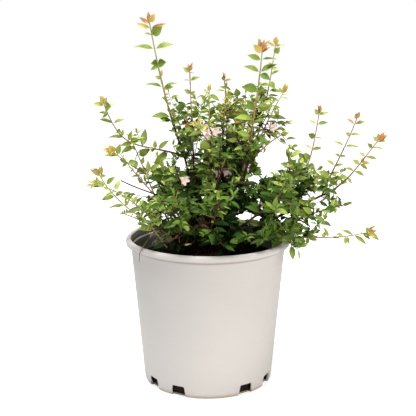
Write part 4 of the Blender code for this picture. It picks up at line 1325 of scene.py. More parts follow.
# Single leaves, leafy twigs and bare old twigs that stand out in the photograph, each with the shoot it is on
SetLeaf = namedtuple("SetLeaf", "parent share base tip width tone")
SET_LEAVES = (
    SetLeaf("mass_right_low", 0.38, (0.134, -0.060, 0.246), (0.137, -0.066, 0.221), 0.42, "mid"),
    SetLeaf("mass_front_right_low", 0.40, (0.048, -0.100, 0.262), (0.034, -0.112, 0.264), 0.62, "green"),
    SetLeaf("mass_front", 0.25, (0.025, -0.113, 0.258), (0.042, -0.122, 0.252), 0.34, "dark"),
    SetLeaf("mass_front_right_low", 0.80, (0.120, -0.090, 0.266), (0.099, -0.100, 0.252), 0.50, "dark"),
    SetLeaf("mass_front_right_low", 0.60, (0.084, -0.100, 0.270), (0.076, -0.110, 0.255), 0.50, "dark"),
    SetLeaf("mass_front_left", 0.25, (-0.066, -0.090, 0.257), (-0.088, -0.092, 0.247), 0.34, "deep"),
    SetLeaf("mass_front_left", 0.30, (-0.028, -0.100, 0.280), (-0.039, -0.106, 0.287), 0.66, "lime"),
    SetLeaf("mass_front_left", 0.12, (-0.038, -0.088, 0.252), (-0.025, -0.092, 0.256), 0.22, "gold"),
    SetLeaf("mass_back_spur", 0.68, (0.104, 0.020, 0.419), (0.116, 0.017, 0.408), 0.40, "mid"),
    SetLeaf("mass_back_spur", 0.68, (0.118, 0.025, 0.407), (0.130, 0.022, 0.398), 0.45, "mid"),
    SetLeaf("mass_back_spur", 0.68, (0.132, 0.025, 0.396), (0.146, 0.022, 0.385), 0.35, "mid"),
    SetLeaf("mass_right_reach", 0.02, (0.183, -0.016, 0.306), (0.197, -0.020, 0.300), 0.50, "dark"),
    SetLeaf("mass_right_reach", 0.01, (0.179, -0.018, 0.306), (0.163, -0.024, 0.298), 0.50, "mid"),
    SetLeaf("mass_right_reach", 0.00, (0.170, -0.018, 0.303), (0.152, -0.024, 0.310), 0.50, "green"),
    SetLeaf("mass_right_inner", 0.85, (0.155, -0.016, 0.369), (0.136, -0.020, 0.361), 0.45, "dark"),
    SetLeaf("mass_top_left", 0.40, (-0.046, 0.000, 0.453), (-0.045, -0.004, 0.468), 0.85, "mid"),
    SetLeaf("mass_top_left", 0.36, (-0.029, 0.000, 0.450), (-0.053, -0.004, 0.452), 0.32, "dark"),
    SetLeaf("mass_top_left", 0.30, (-0.034, -0.020, 0.426), (-0.032, -0.024, 0.440), 0.60, "bronze"),
    SetLeaf("mass_top_left", 0.28, (-0.038, -0.030, 0.432), (-0.016, -0.034, 0.418), 0.40, "mid"),
    SetLeaf("mass_top_centre", 0.55, (-0.005, -0.080, 0.404), (-0.005, -0.088, 0.420), 0.95, "mid"),
    SetLeaf("mass_top_mid", 0.80, (0.049, 0.020, 0.475), (0.046, 0.016, 0.490), 0.75, "mid"),
    SetLeaf("mass_top_mid", 0.85, (0.038, 0.020, 0.487), (0.023, 0.016, 0.494), 0.30, "green"),
    SetLeaf("mass_tall_right", 0.30, (0.073, -0.035, 0.460), (0.060, -0.039, 0.476), 0.60, "green"),
    SetLeaf("mass_top_front", 0.70, (0.053, -0.020, 0.462), (0.037, -0.024, 0.465), 0.40, "dark"),
    SetLeaf("mass_top_front", 0.75, (0.018, -0.020, 0.455), (0.019, -0.024, 0.468), 0.85, "mid"),
    SetLeaf("mass_top_centre", 0.78, (-0.002, -0.050, 0.474), (-0.012, -0.054, 0.486), 0.50, "mid"),
    SetLeaf("mass_top_centre", 0.80, (-0.002, -0.050, 0.476), (0.008, -0.054, 0.484), 0.40, "fresh"),
    SetLeaf("mass_top_centre", 0.72, (-0.005, -0.050, 0.465), (0.005, -0.054, 0.475), 0.42, "mid"),
    SetLeaf("mass_top_left", 0.60, (-0.016, 0.010, 0.452), (-0.029, 0.006, 0.462), 0.50, "mid"),
    SetLeaf("mass_top_mid", 0.72, (0.043, 0.020, 0.474), (0.023, 0.016, 0.471), 0.26, "fresh"),
    SetLeaf("mass_top_front", 0.85, (0.063, -0.010, 0.477), (0.053, -0.014, 0.480), 0.55, "dark"),
    SetLeaf("mass_top_front", 0.85, (0.066, -0.010, 0.477), (0.077, -0.014, 0.482), 0.45, "green"),
    SetLeaf("mass_left_mid", 0.55, (-0.093, -0.040, 0.363), (-0.077, -0.044, 0.375), 0.50, "mid"),
    SetLeaf("mass_left_mid", 0.40, (-0.074, -0.040, 0.368), (-0.073, -0.044, 0.383), 0.45, "lime"),
    SetLeaf("mass_left_mid", 0.60, (-0.095, -0.040, 0.361), (-0.096, -0.044, 0.381), 0.40, "lime"),
    SetLeaf("mass_tall_right", 0.40, (0.078, -0.045, 0.459), (0.101, -0.050, 0.466), 0.42, "lime"),
    SetLeaf("mass_tall_right", 0.25, (0.066, -0.062, 0.422), (0.044, -0.068, 0.430), 0.45, "mid"),
)
SetTwig = namedtuple("SetTwig", "parent share end rise youth")
SET_TWIGS = (
    SetTwig("mass_top_left", 0.58, (-0.064, 0.010, 0.483), 76, 0.8),
    SetTwig("mass_back_spur", 0.70, (0.148, 0.020, 0.385), -35, 0.4),
    SetTwig("mass_front_left_up", 0.45, (-0.090, -0.100, 0.316), -10, 0.3),
)
OldTwig = namedtuple("OldTwig", "parent share end rise")
OLD_TWIGS = (
    OldTwig("mass_front_left", 0.10, (0.018, -0.086, 0.295), 25),
    OldTwig("mass_front", 0.16, (-0.019, -0.090, 0.298), 60),
    OldTwig("mass_front_left", 0.20, (0.001, -0.094, 0.282), -30),
    OldTwig("mass_front_left", 0.05, (-0.056, -0.090, 0.263), 5),
    OldTwig("mass_front", 0.08, (-0.036, -0.086, 0.292), 55),
)
OLD_TWIG_FOOT = 0.0015
OLD_TWIG_TIP = 0.0006


# The outer leaves of the shoots that stand clear of the crown, as the photograph shows them.  Each is told by
# how far its foot is from the end of the shoot and where its tip is from there, in millimetres, and by how
# far its face turns from the sky to the front.
ShootLeaf = namedtuple("ShootLeaf", "from_end across toward rise width facing tone")
SHOOT_LEAVES = {
    "mass_tall_left": (
        ShootLeaf(0, -2, 2, 18, 0.35, 1.0, "bronze"),
        ShootLeaf(0, 9, 4, 14, 0.55, 1.0, "gold"),
        ShootLeaf(1, -9, 2, 5, 0.45, 0.8, "gold"),
        ShootLeaf(9, -23, 0, 8, 0.26, 0.9, "gold"),
        ShootLeaf(9, 25, 2, 8, 0.22, 0.9, "bronze"),
        ShootLeaf(20, 17, 8, 14, 0.62, 1.0, "mid"),
        ShootLeaf(20, -12, 0, 4, 0.42, 0.3, "fresh"),
        ShootLeaf(42, -34, 2, 5, 0.40, 0.2, "mid"),
        ShootLeaf(42, 31, 2, 9, 0.42, 0.3, "fresh"),
        ShootLeaf(66, -9, 20, 2, 0.55, 1.0, "green"),
        ShootLeaf(66, 14, 18, 4, 0.55, 1.0, "green"),
        ShootLeaf(70, -12, 4, -5, 0.50, 0.6, "mid"),
        ShootLeaf(88, 2, 0, 13, 0.35, 1.0, "gold"),
        ShootLeaf(90, -9, 4, 4, 0.55, 0.9, "lime"),
        ShootLeaf(104, -29, 2, 6, 0.42, 0.1, "mid"),
        ShootLeaf(104, 24, 0, 7, 0.42, 0.1, "fresh"),
        ShootLeaf(106, 17, 6, 3, 0.50, 0.8, "fresh"),
        ShootLeaf(128, -8, 4, 8, 0.45, 0.4, "fresh"),
        ShootLeaf(130, 7, 10, -2, 0.50, 0.5, "mid"),
        ShootLeaf(154, -34, 4, 2, 0.42, 0.3, "mid"),
        ShootLeaf(152, 5, 8, 14, 0.50, 1.0, "fresh"),
    ),
    "mass_tall_right": (
        ShootLeaf(0, 3, 2, 18, 0.38, 1.0, "bronze"),
        ShootLeaf(3, -14, 4, 13, 0.50, 1.0, "gold"),
        ShootLeaf(3, 13, 2, 10, 0.42, 0.3, "bronze"),
        ShootLeaf(14, -22, 4, 8, 0.42, 0.6, "mid"),
        ShootLeaf(13, 26, 0, 1, 0.42, 0.1, "fresh"),
        ShootLeaf(33, -26, 2, 10, 0.46, 0.3, "mid"),
        ShootLeaf(33, 26, 0, 13, 0.42, 0.3, "mid"),
        ShootLeaf(35, 16, 8, -9, 0.50, 0.7, "green"),
        ShootLeaf(60, -26, 8, 5, 0.52, 0.9, "green"),
        ShootLeaf(60, 10, 12, 2, 0.60, 0.8, "green"),
        ShootLeaf(62, 6, 4, -3, 0.45, 1.0, "bronze"),
        ShootLeaf(88, -20, 8, 2, 0.45, 0.8, "green"),
        ShootLeaf(88, 24, 4, 3, 0.45, 0.3, "fresh"),
        ShootLeaf(108, -31, 6, 4, 0.42, 0.3, "fresh"),
        ShootLeaf(110, 20, 6, 3, 0.42, 0.3, "mid"),
        ShootLeaf(134, -20, 12, 4, 0.45, 0.7, "green"),
    ),
    "mass_tall_back": (
        ShootLeaf(40, 9, 4, 2, 0.60, 0.9, "lime"),
        ShootLeaf(60, 8, 6, -14, 0.50, 1.0, "fresh"),
        ShootLeaf(66, -15, 4, -1, 0.45, 0.5, "mid"),
        ShootLeaf(76, 26, 2, -3, 0.36, 0.3, "fresh"),
        ShootLeaf(76, -12, 2, -2, 0.50, 0.6, "fresh"),
        ShootLeaf(86, 20, 2, 1, 0.42, 0.2, "fresh"),
        ShootLeaf(86, -14, 6, -5, 0.60, 0.9, "fresh"),
        ShootLeaf(90, 9, 6, -3, 0.50, 0.8, "mid"),
        ShootLeaf(0, 1, 2, 14, 0.60, 1.0, "gold"),
        ShootLeaf(3, -16, 0, 9, 0.24, 0.9, "gold"),
        ShootLeaf(3, 17, 0, 3, 0.42, 0.2, "lime"),
        ShootLeaf(14, 9, 6, 10, 0.65, 1.0, "fresh"),
        ShootLeaf(34, -8, 4, 4, 0.50, 0.8, "lime"),
        ShootLeaf(50, 15, 2, 8, 0.42, 0.3, "fresh"),
    ),
    "mass_back_spur": (
        ShootLeaf(1, 3, 4, 16, 0.36, 1.0, "gold"),
        ShootLeaf(2, -8, 2, 11, 0.30, 1.0, "lime"),
        ShootLeaf(2, 9, 2, 11, 0.34, 1.0, "gold"),
        ShootLeaf(5, 13, 2, 2, 0.25, 0.2, "lime"),
        ShootLeaf(10, 14, 2, -2, 0.30, 0.3, "lime"),
        ShootLeaf(16, -14, 2, 5, 0.40, 0.5, "green"),
        ShootLeaf(33, 9, 2, -14, 0.35, 0.5, "fresh"),
    ),
    "mass_thin_right": (
        ShootLeaf(2, 13, 4, 5, 0.50, 0.9, "lime"),
        ShootLeaf(3, -8, 4, 6, 0.42, 0.4, "fresh"),
    ),
    "mass_top_left": (
        ShootLeaf(0, -4, 2, 10, 0.40, 1.0, "gold"),
        ShootLeaf(0, 4, 2, 12, 0.40, 1.0, "bronze"),
        ShootLeaf(2, -11, 4, 9, 0.45, 0.9, "lime"),
        ShootLeaf(2, 7, 0, -1, 0.42, 0.2, "lime"),
        ShootLeaf(15, 17, 2, 6, 0.42, 0.4, "fresh"),
        ShootLeaf(15, -12, 0, 1, 0.42, 0.1, "lime"),
        ShootLeaf(36, -11, 4, 7, 0.52, 0.9, "lime"),
        ShootLeaf(37, 8, 2, 5, 0.50, 0.9, "lime"),
        ShootLeaf(49, 9, 2, 1, 0.42, 0.3, "fresh"),
        ShootLeaf(61, -9, 6, 4, 0.60, 0.9, "fresh"),
        ShootLeaf(61, 13, 4, 3, 0.45, 0.4, "fresh"),
    ),
    "mass_top_centre": (
        ShootLeaf(0, 1, 2, 9, 0.62, 1.0, "gold"),
        ShootLeaf(5, -8, 0, 6, 0.42, 0.4, "lime"),
        ShootLeaf(5, 17, 2, -10, 0.40, 0.5, "mid"),
        ShootLeaf(18, -8, 4, 5, 0.50, 0.9, "mid"),
        ShootLeaf(18, 12, 2, 2, 0.42, 0.4, "lime"),
        ShootLeaf(32, 12, 2, 8, 0.42, 0.5, "mid"),
        ShootLeaf(32, -13, 2, 2, 0.45, 0.4, "fresh"),
    ),
    "mass_top_mid": (
        ShootLeaf(3, 11, 2, 4, 0.42, 0.5, "mid"),
        ShootLeaf(14, 3, 2, 10, 0.45, 1.0, "gold"),
        ShootLeaf(16, -10, 2, 5, 0.42, 0.4, "mid"),
        ShootLeaf(20, -17, 2, 2, 0.42, 0.2, "fresh"),
        ShootLeaf(22, 14, 6, -7, 0.60, 0.9, "mid"),
    ),
    "mass_right_up": (
        ShootLeaf(0, 2, 2, 14, 0.42, 1.0, "bronze"),
        ShootLeaf(3, -8, 4, 10, 0.60, 1.0, "lime"),
        ShootLeaf(3, 17, 0, 4, 0.42, 0.4, "lime"),
        ShootLeaf(19, -15, 0, 7, 0.42, 0.2, "lime"),
        ShootLeaf(19, 18, 2, 4, 0.42, 0.4, "mid"),
        ShootLeaf(41, -12, 8, 7, 0.58, 1.0, "green"),
        ShootLeaf(41, 12, 0, -2, 0.42, 0.2, "lime"),
        ShootLeaf(62, -13, 0, 9, 0.42, 0.2, "lime"),
        ShootLeaf(62, 16, 2, 4, 0.42, 0.5, "mid"),
        ShootLeaf(80, -9, 6, 14, 0.55, 1.0, "fresh"),
        ShootLeaf(86, -18, 4, 20, 0.42, 0.9, "mid"),
        ShootLeaf(97, 16, 4, 9, 0.40, 0.5, "fresh"),
        ShootLeaf(106, 20, 4, -11, 0.45, 0.7, "dark"),
    ),
    "mass_right_far": (
        ShootLeaf(0, 4, 2, 12, 0.50, 1.0, "bronze"),
        ShootLeaf(0, -5, 2, 4, 0.60, 1.0, "gold"),
        ShootLeaf(10, -13, 0, 10, 0.42, 0.3, "bronze"),
        ShootLeaf(10, 19, 0, 5, 0.42, 0.3, "lime"),
        ShootLeaf(29, -8, 6, 5, 0.60, 0.9, "lime"),
        ShootLeaf(29, 18, 0, 2, 0.42, 0.2, "lime"),
        ShootLeaf(49, -20, 0, 9, 0.42, 0.1, "fresh"),
        ShootLeaf(49, 25, 0, -1, 0.42, 0.1, "lime"),
        ShootLeaf(67, -9, 2, 5, 0.45, 0.6, "fresh"),
        ShootLeaf(67, 10, 2, 1, 0.45, 0.5, "fresh"),
        ShootLeaf(85, -15, 0, 11, 0.42, 0.3, "lime"),
        ShootLeaf(85, 14, 2, 4, 0.42, 0.4, "fresh"),
        ShootLeaf(101, 15, 2, 6, 0.42, 0.4, "fresh"),
        ShootLeaf(104, -20, 4, 10, 0.45, 0.7, "fresh"),
        ShootLeaf(113, -20, 4, -3, 0.45, 0.7, "mid"),
        ShootLeaf(121, -16, 6, -5, 0.45, 0.8, "dark"),
    ),
    "mass_right_reach": (
        ShootLeaf(0, 0, 2, 12, 0.36, 1.0, "bronze"),
        ShootLeaf(0, 9, 2, 14, 0.40, 1.0, "bronze"),
        ShootLeaf(0, 14, 2, 9, 0.40, 0.8, "bronze"),
        ShootLeaf(2, -8, 4, 9, 0.50, 1.0, "lime"),
        ShootLeaf(2, 15, 0, 1, 0.42, 0.2, "gold"),
        ShootLeaf(15, -9, 4, 8, 0.50, 0.9, "mid"),
        ShootLeaf(15, 17, 0, -1, 0.42, 0.2, "lime"),
        ShootLeaf(34, -12, 2, 8, 0.42, 0.4, "lime"),
        ShootLeaf(34, 19, 2, -3, 0.42, 0.3, "fresh"),
        ShootLeaf(46, 4, 4, 9, 0.50, 1.0, "gold"),
        ShootLeaf(46, 14, 2, -1, 0.42, 0.8, "gold"),
        ShootLeaf(50, -13, 4, 8, 0.45, 0.9, "lime"),
        ShootLeaf(50, 13, 2, -8, 0.45, 0.5, "fresh"),
        ShootLeaf(66, 18, 2, -8, 0.42, 0.3, "fresh"),
        ShootLeaf(66, -14, 2, 6, 0.42, 0.4, "fresh"),
        ShootLeaf(82, -16, 4, 3, 0.45, 0.6, "fresh"),
        ShootLeaf(82, 6, 4, -9, 0.45, 0.9, "fresh"),
        ShootLeaf(98, 12, 0, 3, 0.42, 0.3, "fresh"),
    ),
    "mass_right_low": (
        ShootLeaf(0, 8, 4, 5, 0.62, 1.0, "bronze"),
        ShootLeaf(1, -3, 4, 10, 0.62, 1.0, "fresh"),
        ShootLeaf(1, 19, 2, -13, 0.40, 0.4, "fresh"),
        ShootLeaf(8, 12, 4, -3, 0.45, 0.9, "fresh"),
        ShootLeaf(10, 13, 4, -9, 0.34, 0.5, "fresh"),
        ShootLeaf(9, -6, 2, 3, 0.42, 0.4, "lime"),
        ShootLeaf(24, -21, 4, 10, 0.30, 0.3, "fresh"),
        ShootLeaf(24, 21, 6, -14, 0.30, 0.4, "fresh"),
        ShootLeaf(38, 1, 4, -13, 0.45, 0.9, "lime"),
        ShootLeaf(35, 3, 4, -12, 0.42, 0.9, "fresh"),
        ShootLeaf(40, -14, 2, 5, 0.42, 0.4, "lime"),
        ShootLeaf(60, 14, 2, -1, 0.42, 0.3, "lime"),
        ShootLeaf(64, -9, 4, 18, 0.26, 0.6, "fresh"),
        ShootLeaf(74, 4, 6, 12, 0.45, 0.8, "lime"),
        ShootLeaf(98, 16, 4, -4, 0.45, 0.6, "mid"),
    ),
    "mass_left_arch": (
        ShootLeaf(0, -3, 2, 15, 0.58, 1.0, "gold"),
        ShootLeaf(1, -17, 4, 3, 0.42, 0.8, "lime"),
        ShootLeaf(4, 11, 14, 2, 0.85, 1.0, "mid"),
        ShootLeaf(3, 18, 0, 4, 0.42, 0.2, "lime"),
        ShootLeaf(16, -14, 2, 3, 0.42, 0.4, "fresh"),
        ShootLeaf(16, -9, 4, -6, 0.42, 0.7, "fresh"),
        ShootLeaf(33, -22, 0, 8, 0.42, 0.2, "mid"),
        ShootLeaf(33, 21, 0, 7, 0.42, 0.2, "fresh"),
        ShootLeaf(46, 8, 10, -3, 0.65, 1.0, "mid"),
        ShootLeaf(59, 2, 2, 12, 0.42, 1.0, "lime"),
        ShootLeaf(62, -25, 0, 1, 0.42, 0.2, "fresh"),
        ShootLeaf(72, 6, 2, 18, 0.36, 1.0, "fresh"),
        ShootLeaf(74, 18, 6, 4, 0.55, 0.8, "mid"),
        ShootLeaf(74, 24, 0, 8, 0.42, 0.1, "lime"),
        ShootLeaf(106, 8, 2, -2, 0.50, 0.8, "gold"),
        ShootLeaf(118, 0, 2, 15, 0.42, 0.9, "lime"),
        ShootLeaf(123, 18, 2, 16, 0.35, 0.5, "mid"),
        ShootLeaf(137, -10, 4, -12, 0.50, 0.8, "mid"),
        ShootLeaf(144, 12, 2, -11, 0.30, 0.5, "green"),
    ),
    "mass_left_mid": (
        ShootLeaf(0, -9, 4, 13, 0.70, 1.0, "gold"),
        ShootLeaf(0, -14, 4, 3, 0.60, 1.0, "lime"),
        ShootLeaf(1, -20, 2, 8, 0.42, 0.7, "gold"),
        ShootLeaf(5, 6, 4, 19, 0.42, 1.0, "fresh"),
        ShootLeaf(8, -24, 0, 1, 0.42, 0.2, "mid"),
        ShootLeaf(26, -12, 4, 6, 0.50, 0.8, "mid"),
        ShootLeaf(27, 15, 6, 2, 0.55, 0.8, "mid"),
        ShootLeaf(27, -9, 4, -6, 0.45, 0.7, "mid"),
    ),
    "mass_left_fork": (
        ShootLeaf(8, -20, 4, -3, 0.42, 0.7, "mid"),
        ShootLeaf(20, -8, 4, 8, 0.42, 0.7, "fresh"),
        ShootLeaf(30, 21, 6, 12, 0.48, 0.9, "mid"),
        ShootLeaf(46, 3, 2, 14, 0.42, 0.9, "lime"),
        ShootLeaf(14, -22, 2, -9, 0.40, 0.6, "fresh"),
    ),
    "mass_front": (
        ShootLeaf(1, -2, 4, 4, 0.70, 1.0, "gold"),
        ShootLeaf(27, 3, 5, 2, 0.70, 1.0, "gold"),
        ShootLeaf(70, -3, 4, -2, 0.70, 1.0, "gold"),
    ),
    "mass_left_low": (
        ShootLeaf(0, -9, 4, 12, 0.60, 1.0, "lime"),
        ShootLeaf(0, 1, 2, 15, 0.42, 1.0, "gold"),
        ShootLeaf(2, 10, 4, 2, 0.50, 0.9, "lime"),
        ShootLeaf(18, -26, 2, 5, 0.42, 0.3, "lime"),
        ShootLeaf(19, -25, 2, -1, 0.42, 0.3, "fresh"),
        ShootLeaf(19, 15, 0, 14, 0.42, 0.4, "mid"),
        ShootLeaf(42, -21, 4, -5, 0.45, 0.5, "fresh"),
        ShootLeaf(42, 14, 2, 8, 0.45, 0.5, "fresh"),
        ShootLeaf(64, -26, 2, -3, 0.42, 0.1, "mid"),
        ShootLeaf(64, 8, 4, 9, 0.50, 0.8, "lime"),
    ),
    "mass_right_inner": (
        ShootLeaf(2, -7, 2, 16, 0.42, 0.6, "fresh"),
        ShootLeaf(2, 20, 2, 14, 0.42, 0.3, "lime"),
        ShootLeaf(12, 12, 4, 8, 0.55, 0.9, "mid"),
        ShootLeaf(14, -14, 4, 4, 0.50, 0.7, "mid"),
    ),
    "mass_right_mid": (
        ShootLeaf(3, 10, 4, 4, 0.50, 0.8, "mid"),
        ShootLeaf(6, -4, 2, 11, 0.45, 0.8, "dark"),
        ShootLeaf(16, -8, 6, -8, 0.50, 0.9, "dark"),
        ShootLeaf(16, -16, 4, -2, 0.50, 0.9, "dark"),
        ShootLeaf(14, -2, 4, -11, 0.40, 0.8, "mid"),
        ShootLeaf(49, 8, 2, 10, 0.35, 0.5, "mid"),
        ShootLeaf(54, -16, 4, 12, 0.45, 0.7, "fresh"),
        ShootLeaf(62, -23, 6, 9, 0.45, 0.8, "mid"),
        ShootLeaf(47, 4, 4, 7, 0.50, 0.8, "dark"),
    ),
}
MILLIMETRE = 0.001
SHOOT_LEAF_LENGTH = 1.0
SHOOT_LEAF_WIDTH = 1.12
SHOOT_LEAF_FACING = 0.12


def path_from(parent, share, end, rise):
    """The path of a twig from a place on a shoot to its own end, where it rises by some degrees."""
    shoot = shoot_paths[parent]
    start, tangent = along(shoot, share * path_length(shoot))
    heading = Vector(end) - start
    turn = math.degrees(math.atan2(heading.y, heading.x))
    return arch(start, (tangent + heading.normalized()).normalized(), Vector(end), direction(turn, rise))


def add_blade(foot, tip, width, face, tone, rng):
    """One leaf from its foot to its tip."""
    along_leaf = tip - foot
    frame = frame_at(foot, along_leaf, face)
    length = along_leaf.length
    blade = leaf_blade(length, width * length, rng.uniform(0.2, 0.4), rng.uniform(0.2, 0.35), 0.02, rng.uniform(0.0, 6.0))
    leaves[tone].add([frame @ vert for vert in blade], leaf_pattern)


def add_shoot_leaves(rng):
    for name, rows in SHOOT_LEAVES.items():
        path = shoot_paths[name]
        for row in rows:
            foot = along(path, path_length(path) - row.from_end * MILLIMETRE)[0]
            tip = foot + SHOOT_LEAF_LENGTH * MILLIMETRE * Vector((row.across, -row.toward, row.rise))
            facing = row.facing + SHOOT_LEAF_FACING
            face = Vector((0.0, -facing, 1.0 - 0.7 * facing))
            add_blade(foot, tip, SHOOT_LEAF_WIDTH * row.width, face, row.tone, rng)


def set_by_hand():
    rng = random.Random("by hand")
    add_shoot_leaves(rng)
    for single in SET_LEAVES:
        stalk = path_from(single.parent, single.share, single.base, 0)
        wood_along(stalk, 0.0008, 0.0005, (("brown", 0.5), ("red", 1.0)), 5)
        face = Vector((0.0, -0.75, 0.66))
        add_blade(Vector(single.base), Vector(single.tip), single.width, face, single.tone, rng)
    growth = Growth("set twigs", cad_low, cad_high, 0.020, 0.017)
    for twig in SET_TWIGS:
        path = path_from(twig.parent, twig.share, twig.end, twig.rise)
        growth.leafy(path, 0.0, twig.youth, TIP_TONES["gold"], False)
    for old in OLD_TWIGS:
        path = path_from(old.parent, old.share, old.end, old.rise)
        wood["rust"].add(*tapered(path, 0.005, OLD_TWIG_FOOT, OLD_TWIG_TIP, 7))
        for share in (0.45, 0.7):
            start, tangent = along(path, share * path_length(path))
            stub = start + rng.uniform(0.008, 0.016) * (tangent + outward_from(tangent, rng.uniform(0.0, 6.0)))
            wood["rust"].add(*tube([start, stub], (0.0008, 0.0005), 6))


def make_foliage():
    for mass in MASSES:
        grow_shoot(mass)
    for limb in LIMBS:
        grow_limb(limb)
    set_by_hand()
    names = [mass.name for mass in MASSES]
    for tone in TONES:
        leaves[tone].piece("leaves_" + tone, leaf_material(tone, LEAF_COLOURS[tone]), "leaf", names)
    for name, (dark, light) in WOOD_COLOURS.items():
        wood[name].piece("twigs_" + name, wood_material("twig_" + name, dark, light, 0.0014), "bark", names)


make_foliage()

# Blossom
# A few small bells in pairs and threes, pale pink outside with a warmer throat, on short stalks with a
# star of narrow red-brown sepals.
BELL_LENGTH = 0.013
BELL_RINGS = ((0.0, 0.0010), (0.18, 0.0015), (0.42, 0.0026), (0.66, 0.0044), (0.84, 0.0058), (1.0, 0.0074))
BELL_SIDES = 25
BELL_LOBES = 5
LOBE_DEPTH = 0.16
THROAT_RINGS = ((0.10, 0.0009), (0.35, 0.0018), (0.62, 0.0033), (0.72, 0.0039))
SEPAL_LENGTH = 0.006
STALK_LENGTH = 0.005
# A faint painted glow, given to the petals, throats and sepals alike.
PETAL_GLOW = 0.16
PETAL_COLOUR = (0.92, 0.78, 0.77)
THROAT_COLOUR = (0.88, 0.68, 0.55)
SEPAL_COLOUR = (0.42, 0.16, 0.10)


def bell(rings, lobed):
    """An open bell along +X, its mouth cut into lobes."""
    verts = []
    for share, radius in rings:
        for step in range(BELL_SIDES):
            turn = math.tau * step / BELL_SIDES
            lobe = LOBE_DEPTH * share**4 * math.cos(BELL_LOBES * turn) if lobed else 0.0
            wide = radius * (1.0 + lobe)
            verts.append(Vector((BELL_LENGTH * (share + 0.6 * lobe), wide * math.cos(turn), wide * math.sin(turn))))
    faces = []
    for ring in range(len(rings) - 1):
        for step in range(BELL_SIDES):
            a = ring * BELL_SIDES + step
            b = ring * BELL_SIDES + (step + 1) % BELL_SIDES
            faces.append((a, b, b + BELL_SIDES, a + BELL_SIDES))
    return verts, faces


def petal_material(name, colour):
    """Thin petal, faintly blushed, with a faint painted glow in place of the light that comes through it."""
    material, tree, shader = new_material(name, colour, 0.55, 0.3)
    place = object_place(tree)
    blush = effect(tree, mottle, place, Size=0.005, Darkest=0.86, Lightest=1.08)
    tint = mixed(tree, "MULTIPLY", 1.0, colour, blush)
    tree.links.new(tint, shader.inputs["Base Color"])
    # Painted glow: each bell, throat and sepal gives off a faint light of its own colour, in place of light through the
    # thin petal.
    tree.links.new(tint, shader.inputs["Emission Color"])
    shader.inputs["Emission Strength"].default_value = PETAL_GLOW
    relief(tree, shader, effect(tree, grain, place, Size=0.0008, Stretch=1.0), 0.2, 0.0003)
    return material


def make_blossom():
    rng = random.Random("blossom")
    petals, throats, sepals = Heap(), Heap(), Heap()
    for bloom in BLOOMS:
        point, tangent = bloom_place(bloom)
        for index in range(bloom.count):
            turn = math.tau * index / bloom.count + rng.uniform(-0.4, 0.4)
            spread = Vector((0.7 * math.cos(turn), -0.8, 0.45 * math.sin(turn) - 0.35)).normalized()
            face = spread.orthogonal()
            frame = frame_at(point + STALK_LENGTH * spread, spread, face)
            stalk = [point, point + 0.5 * STALK_LENGTH * spread, point + STALK_LENGTH * spread]
            sepals.add(*tube(stalk, (0.0006, 0.0005, 0.0009), 5))
            for heap, rings, lobed in ((petals, BELL_RINGS, True), (throats, THROAT_RINGS, False)):
                verts, faces = bell(rings, lobed)
                heap.add([frame @ vert for vert in verts], faces)
            for sepal in range(BELL_LOBES):
                around = frame @ Matrix.Rotation(math.tau * sepal / BELL_LOBES, 4, "X")
                lean = around @ Matrix.Rotation(-0.5, 4, "Y")
                blade = leaf_blade(SEPAL_LENGTH, 0.2 * SEPAL_LENGTH, 0.4, 0.2, 0.0, 0.0)
                sepals.add([lean @ vert for vert in blade], leaf_pattern)
    names = sorted({bloom.mass for bloom in BLOOMS})
    petals.piece("bell_petals", petal_material("petal", PETAL_COLOUR), "leaf", names)
    throats.piece("bell_throats", petal_material("bell_throat", THROAT_COLOUR), "leaf", names)
    sepals.piece("bell_sepals", petal_material("sepal", SEPAL_COLOUR), "leaf", names)


make_blossom()

# Dead twigs and litter
# One bare dead twig stands out on the left with its broken tip bent down, dry stubs are left on two shoots,
# and a stalk of straw, a hooked twig over the rim and a few fine roots lie in the pot.
DEAD_FOOT_RADIUS = 0.0014
DEAD_TIP_RADIUS = 0.0010
Dead = namedtuple("Dead", "limb share turn reach top fork end_rise sweep")
DEAD_TWIG = Dead("limb_left_mid", 0.74, 209, 0.156, 0.354, 34, 30, 0.36)
BROKEN_TIP = Vector((-0.011, -0.004, -0.010))
DEAD_STUBS = (
    ("mass_top_left", 0.58, Vector((-0.054, 0.002, 0.466)), 0.0011),
    ("mass_tall_right", 0.36, Vector((0.088, -0.042, 0.455)), 0.0010),
)
STRAW = (Vector((-0.0905, -0.070, 0.279)), Vector((-0.0775, -0.072, 0.261)), Vector((-0.0655, -0.074, 0.2445)))
TANGLE_PLACE = Vector((-0.078, -0.066, 0.258))
TANGLE_COUNT = 12
RIM_TWIG = (
    Vector((-0.078, -0.030, 0.264)), Vector((-0.092, -0.056, 0.262)), Vector((-0.102, -0.086, 0.250)),
    Vector((-0.108, -0.092, 0.240)), Vector((-0.1085, -0.0925, 0.226)),
)
ROOT_COUNT = 9


def dry_material(name, dark, light):
    return wood_material(name, dark, light, 0.0016)


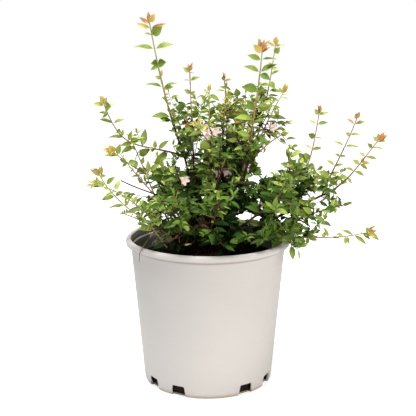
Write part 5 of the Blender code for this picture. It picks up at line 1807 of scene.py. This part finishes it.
def make_dead_wood():
    dark_wood = Heap()
    path = shoot_path(DEAD_TWIG)
    dark_wood.add(*tapered(path, 0.005, DEAD_FOOT_RADIUS, DEAD_TIP_RADIUS, 8))
    for parent, share, end, radius in DEAD_STUBS:
        start, _ = along(shoot_paths[parent], share * path_length(shoot_paths[parent]))
        middle = start.lerp(end, 0.55) + Vector((0.002, 0.0, -0.001))
        dark_wood.add(*tube([start, middle, end], (radius, 0.85 * radius, 0.6 * radius), 7))
    material = dry_material("dead_wood", (0.010, 0.007, 0.006), (0.055, 0.033, 0.027))
    dark_wood.piece("dead_twig", material, "dead_wood", ["dead_twig_left"])
    pale_wood = Heap()
    tip = path[-1]
    pale_wood.add(*tube([tip, tip + 0.5 * BROKEN_TIP, tip + BROKEN_TIP], (0.0007, 0.0007, 0.0004), 6))
    pale_wood.add(*tube(list(STRAW), (0.0010, 0.0011, 0.0009), 7))
    rng = random.Random("tangle")
    for _ in range(TANGLE_COUNT):
        middle = TANGLE_PLACE + Vector((rng.uniform(-0.012, 0.014), rng.uniform(-0.010, 0.006), rng.uniform(-0.009, 0.007)))
        bend = rng.uniform(0.003, 0.008)
        points = [
            middle + bend * Vector((math.cos(0.9 * step), 0.4 * math.sin(step), math.sin(0.9 * step + bend * 90.0)))
            for step in range(5)
        ]
        pale_wood.add(*tube(points, [0.0004] * len(points), 5))
    pale_wood.piece("straw", dry_material("straw", (0.30, 0.20, 0.10), (0.62, 0.48, 0.30)), "dead_wood")
    litter = Heap()
    litter.add(*tube(list(RIM_TWIG), (0.0009, 0.0008, 0.0008, 0.0007, 0.0004), 7))
    rng = random.Random("roots")
    for _ in range(ROOT_COUNT):
        reach = rng.uniform(0.04, 0.11)
        turn = rng.uniform(0.0, math.tau)
        points = []
        for step in range(9):
            x = reach * math.cos(turn) + 0.004 * step * math.cos(0.5 * step + turn)
            y = reach * math.sin(turn) + 0.004 * step * math.sin(0.7 * step + turn)
            if math.hypot(x, y) < 0.118:
                points.append(Vector((x, y, soil_height(x, y) + 0.001 + 0.0016 * math.sin(1.3 * step) ** 2)))
        if len(points) > 2:
            litter.add(*tube(points, [0.0004] * len(points), 5))
    litter.piece("litter", dry_material("litter", (0.07, 0.04, 0.025), (0.26, 0.16, 0.10)), "dead_wood")


make_dead_wood()
